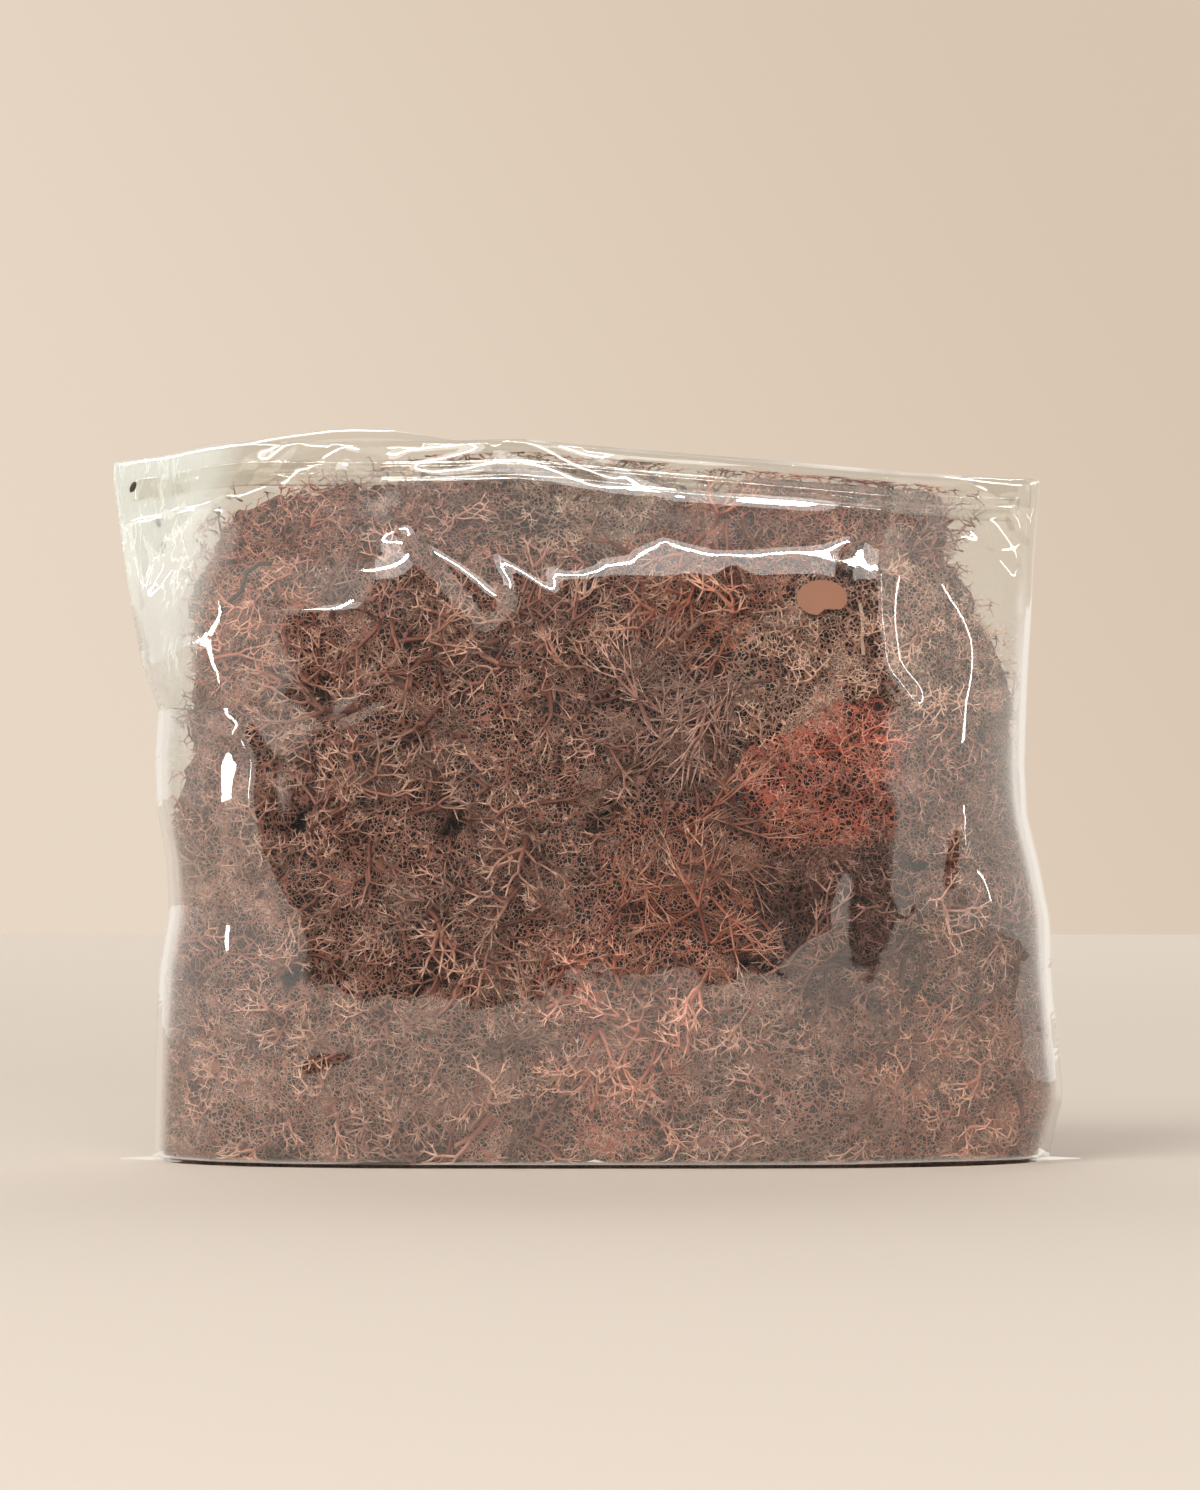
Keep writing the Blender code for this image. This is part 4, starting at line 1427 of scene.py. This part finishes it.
@dataclass
class Studio:
    """The pale floor, the soft lights and what surrounds them."""

    floor_edge: float = -0.55     # the film mirrors the floor up to here
    wall_line: float = 1.81       # where the floor meets the background
    floor_width: float = 3.0
    floor_colour: Colour = (0.680, 0.606, 0.534)
    # painted light on the backdrop: the paler colour to the left and lower down, where the light falls, and the darker
    # one to the right and higher up
    wall_painted_lit: Colour = (0.800, 0.680, 0.555)
    wall_painted_shaded: Colour = (0.690, 0.560, 0.440)
    mirrored_pale: Colour = (0.90, 0.82, 0.73)
    mirrored_dark: Colour = (0.030, 0.028, 0.026)
    mirrored_above: Colour = (0.420, 0.388, 0.350)
    fill: Colour = (0.95, 0.90, 0.84)
    fill_strength: float = 0.42

    def floor_material(self) -> bpy.types.Material:
        """Returns the floor's material."""
        made = bpy.data.materials.new("pale_floor")
        made.use_nodes = True
        wiring = Wiring(made.node_tree)
        made.node_tree.nodes.clear()
        place = wiring.add("TexCoord").outputs["Object"]
        patches = wiring.noise(place, 3.0)
        pale = (*self.floor_colour, 1.0)
        shaded = tuple(0.965 * channel for channel in self.floor_colour) + (1.0,)
        colour = wiring.blend(patches, pale, shaded)
        shader = wiring.add("BsdfPrincipled", {"Base Color": colour, "Roughness": 0.75})
        wiring.add("OutputMaterial", {"Surface": shader.outputs[0]})
        return made

    def floor(self, name: str, near: float, far: float, mirrored: bool) -> None:
        """Lays a stretch of the floor.

        Args:
            name: The stretch's name.
            near: Where it starts along Y.
            far: Where it ends.
            mirrored: Whether the film mirrors it.
        """
        bm = bmesh.new()
        bmesh.ops.create_grid(bm, x_segments=1, y_segments=1, size=0.5)
        bmesh.ops.scale(bm, vec=(2 * self.floor_width, far - near, 1.0), verts=bm.verts[:])
        bmesh.ops.translate(bm, vec=(0.0, (far + near) / 2, 0.0), verts=bm.verts[:])
        mesh = bpy.data.meshes.new(name)
        bm.to_mesh(mesh)
        bm.free()
        made = add_object(name, mesh)
        mesh.materials.append(bpy.data.materials.get("pale_floor") or self.floor_material())
        made.visible_glossy = mirrored

    def world(self) -> None:
        """Makes the surroundings: a wall for the camera with painted light, paler to the left and lower down and
        darker to the right and higher up, a dark window to mirror, and a soft fill.
        """
        made = bpy.data.worlds.new("studio")
        bpy.context.scene.world = made
        made.use_nodes = True
        made.node_tree.nodes.clear()
        wiring = Wiring(made.node_tree)
        way = wiring.add("SeparateXYZ", {0: wiring.add("TexCoord").outputs["Generated"]})
        x, y, z = way.outputs
        # the backdrop's painted light: paler to the left and lower down, darker to the right and higher up
        wall = wiring.blend(wiring.ramp(wiring.math("ADD", x, wiring.math("MULTIPLY", z, 0.6)), -0.10, 0.16),
                            (*self.wall_painted_lit, 1.0), (*self.wall_painted_shaded, 1.0))
        ahead = wiring.math("MAXIMUM", wiring.math("MULTIPLY", y, -1.0), 0.02)
        aside = wiring.math("DIVIDE", wiring.math("ABSOLUTE", wiring.math("ADD", x, 0.05)), ahead)
        window = wiring.ramp(aside, 0.60, 0.75, 1.0, 0.0)
        mirrored = wiring.blend(window, (*self.mirrored_pale, 1.0), (*self.mirrored_dark, 1.0))
        mirrored = wiring.blend(wiring.ramp(z, 0.80, 0.93), mirrored, (*self.mirrored_above, 1.0))
        path = wiring.add("LightPath")
        fill = tuple(channel * self.fill_strength for channel in self.fill) + (1.0,)
        colour = wiring.blend(path.outputs["Is Glossy Ray"], fill, mirrored)
        colour = wiring.blend(path.outputs["Is Camera Ray"], colour, wall)
        shader = wiring.add("Background", {"Color": colour, "Strength": 1.0})
        wiring.add("OutputWorld", {"Surface": shader.outputs[0]})

    def build(self) -> None:
        """Builds the whole studio."""
        self.floor("floor", self.floor_edge, self.wall_line, True)
        self.floor("floor_towards_camera", -6.0, self.floor_edge, False)
        self.world()
        for light in SOFTBOXES:
            light.build()
        bpy.context.scene.view_settings.view_transform = "Standard"
        bpy.context.scene.cycles.transparent_max_bounces = 24


SOFTBOXES = (
    Softbox("key_softbox", -38.0, 40.0, 3.4, (1.80, 1.80), 6.8, mirrored=False),
    Softbox("front_softbox", 8.0, 14.0, 3.0, (1.60, 1.00), 8.0, mirrored=False),
    Softbox("left_softbox", -88.0, 22.0, 3.0, (1.00, 1.80), 2.0, mirrored=False),
    Softbox("far_softbox", 180.0, 62.0, 1.9, (3.20, 1.40), 1.9, mirrored=False, target=(0.0, 1.25, 0.0)),
    Softbox("top_strip", -6.0, 62.0, 1.4, (1.20, 0.060), 40.0, lighting=False),
    Softbox("top_glow", -6.0, 62.0, 1.45, (1.10, 0.55), 1.8, lighting=False),
    Softbox("left_strip", -72.0, 18.0, 1.4, (0.06, 0.80), 14.0, lighting=False),
    Softbox("right_strip", 72.0, 22.0, 1.5, (0.06, 0.80), 10.0, lighting=False),
)

TUFTS = [
    Tuft("left_shoulder", RUST, Habit.CUSHION, 0.50, mass_inset=-0.0016, fineness=5),
    Tuft("top_middle", BROWN, Habit.CUSHION, 0.50, mass_inset=-0.0008, fineness=5, crests=((-0.034, -0.020),)),
    Tuft("pale_top", PALE, Habit.FINE, 0.55, fineness=5, crests=((-0.023, -0.008), (0.004, 0.020))),
    Tuft("top_right_cap", RUST, Habit.FINE, 0.50, fineness=5, crests=((0.020, 0.030),)),
    Tuft("cap_end", BROWN, Habit.CUSHION, 0.50, fineness=5),
    Tuft("upper_left", RUST, Habit.CUSHION, 0.45, fineness=5),
    Tuft("left_slope", BROWN, Habit.OPEN, 0.50),
    Tuft("upper_middle", BROWN, Habit.OPEN, 0.50),
    Tuft("upper_right", RUST, Habit.OPEN, 0.40),
    Tuft("pale_edge", TAN, Habit.FINE, 0.60, mass_inset=0.0006, fineness=5),
    Tuft("left", BROWN, Habit.CUSHION, 0.45),
    Tuft("left_middle", BROWN, Habit.OPEN, 0.45),
    Tuft("middle", BROWN, Habit.CUSHION, 0.45),
    Tuft("brown_middle", WISPY, Habit.SPRAY, 0.50),
    Tuft("tan", TAN, Habit.FINE, 0.50),
    Tuft("red", RED, Habit.FINE, 0.45),
    Tuft("right", BROWN, Habit.CUSHION, 0.45),
    Tuft("low_left", BROWN, Habit.CUSHION, 0.50),
    Tuft("low_left_middle", BROWN, Habit.OPEN, 0.45),
    Tuft("low_middle", BROWN, Habit.OPEN, 0.40),
    Tuft("low_right_middle", RUST, Habit.SPRAY, 0.45),
    Tuft("dark_hollow", DARK, Habit.OPEN, 0.50),
    Tuft("low_right", BROWN, Habit.CUSHION, 0.45),
    Tuft("base_left", BROWN, Habit.CUSHION, 0.50),
    Tuft("base_left_middle", BROWN, Habit.CUSHION, 0.45),
    Tuft("base_middle", BROWN, Habit.OPEN, 0.45),
    Tuft("pink", PINK, Habit.OPEN, 0.50, overlap=0.0095),
    Tuft("base_right_middle", BROWN, Habit.CUSHION, 0.45),
    Tuft("base_right", RUST, Habit.CUSHION, 0.45),
] + [Tuft(f"back_{row}_{column}", (BROWN, RUST, WISPY, BROWN)[(row + column) % 4],
          (Habit.CUSHION, Habit.OPEN)[(row + column) % 2], 0.45, fineness=3 + row)
     for row in (1, 2) for column in (1, 2, 3, 4)]

NODE_FINISHES = {"bottom_gusset": FILM, "dark_stem": DEAD_STEM, "thin_twig": DEAD_STEM,
                 "crumb_1": DEAD_STEM, "crumb_2": DEAD_STEM, "crumb_3": DEAD_STEM,
                 "leaf_scrap": LEAF, "pale_stalk": STRAW}


def main() -> None:
    """Builds the studio, the moss and the pouch around the frame."""
    logging.basicConfig(level=logging.INFO, format="%(message)s")
    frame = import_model()
    nodes = frame["nodes"]
    camera = Camera()
    camera.build()
    Studio().build()
    room = FilmRoom(nodes["front_film"], nodes["back_film"])
    Clump(TUFTS, room, nodes).build()
    pouch = [(Web("front_film", -1, room, camera, FRONT_FOLDS, calm=0.15), FILM),
             (Web("back_film", 1, room, camera, spacing=0.0026), FILM),
             (ZipTrack("zip_track_front", -1, room), ZIP), (ZipTrack("zip_track_back", 1, room), ZIP)]
    for part, finish in pouch:
        piece = part.build()
        finish.dress(piece)
        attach(piece, BODY)
        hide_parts(part.node)
        LOG.info("%s: %d faces", piece.name, len(piece.data.polygons))
    for name, finish in NODE_FINISHES.items():
        nodes[name].data.materials.clear()
        nodes[name].data.materials.append(finish.material())


if __name__ == "__main__":
    main()
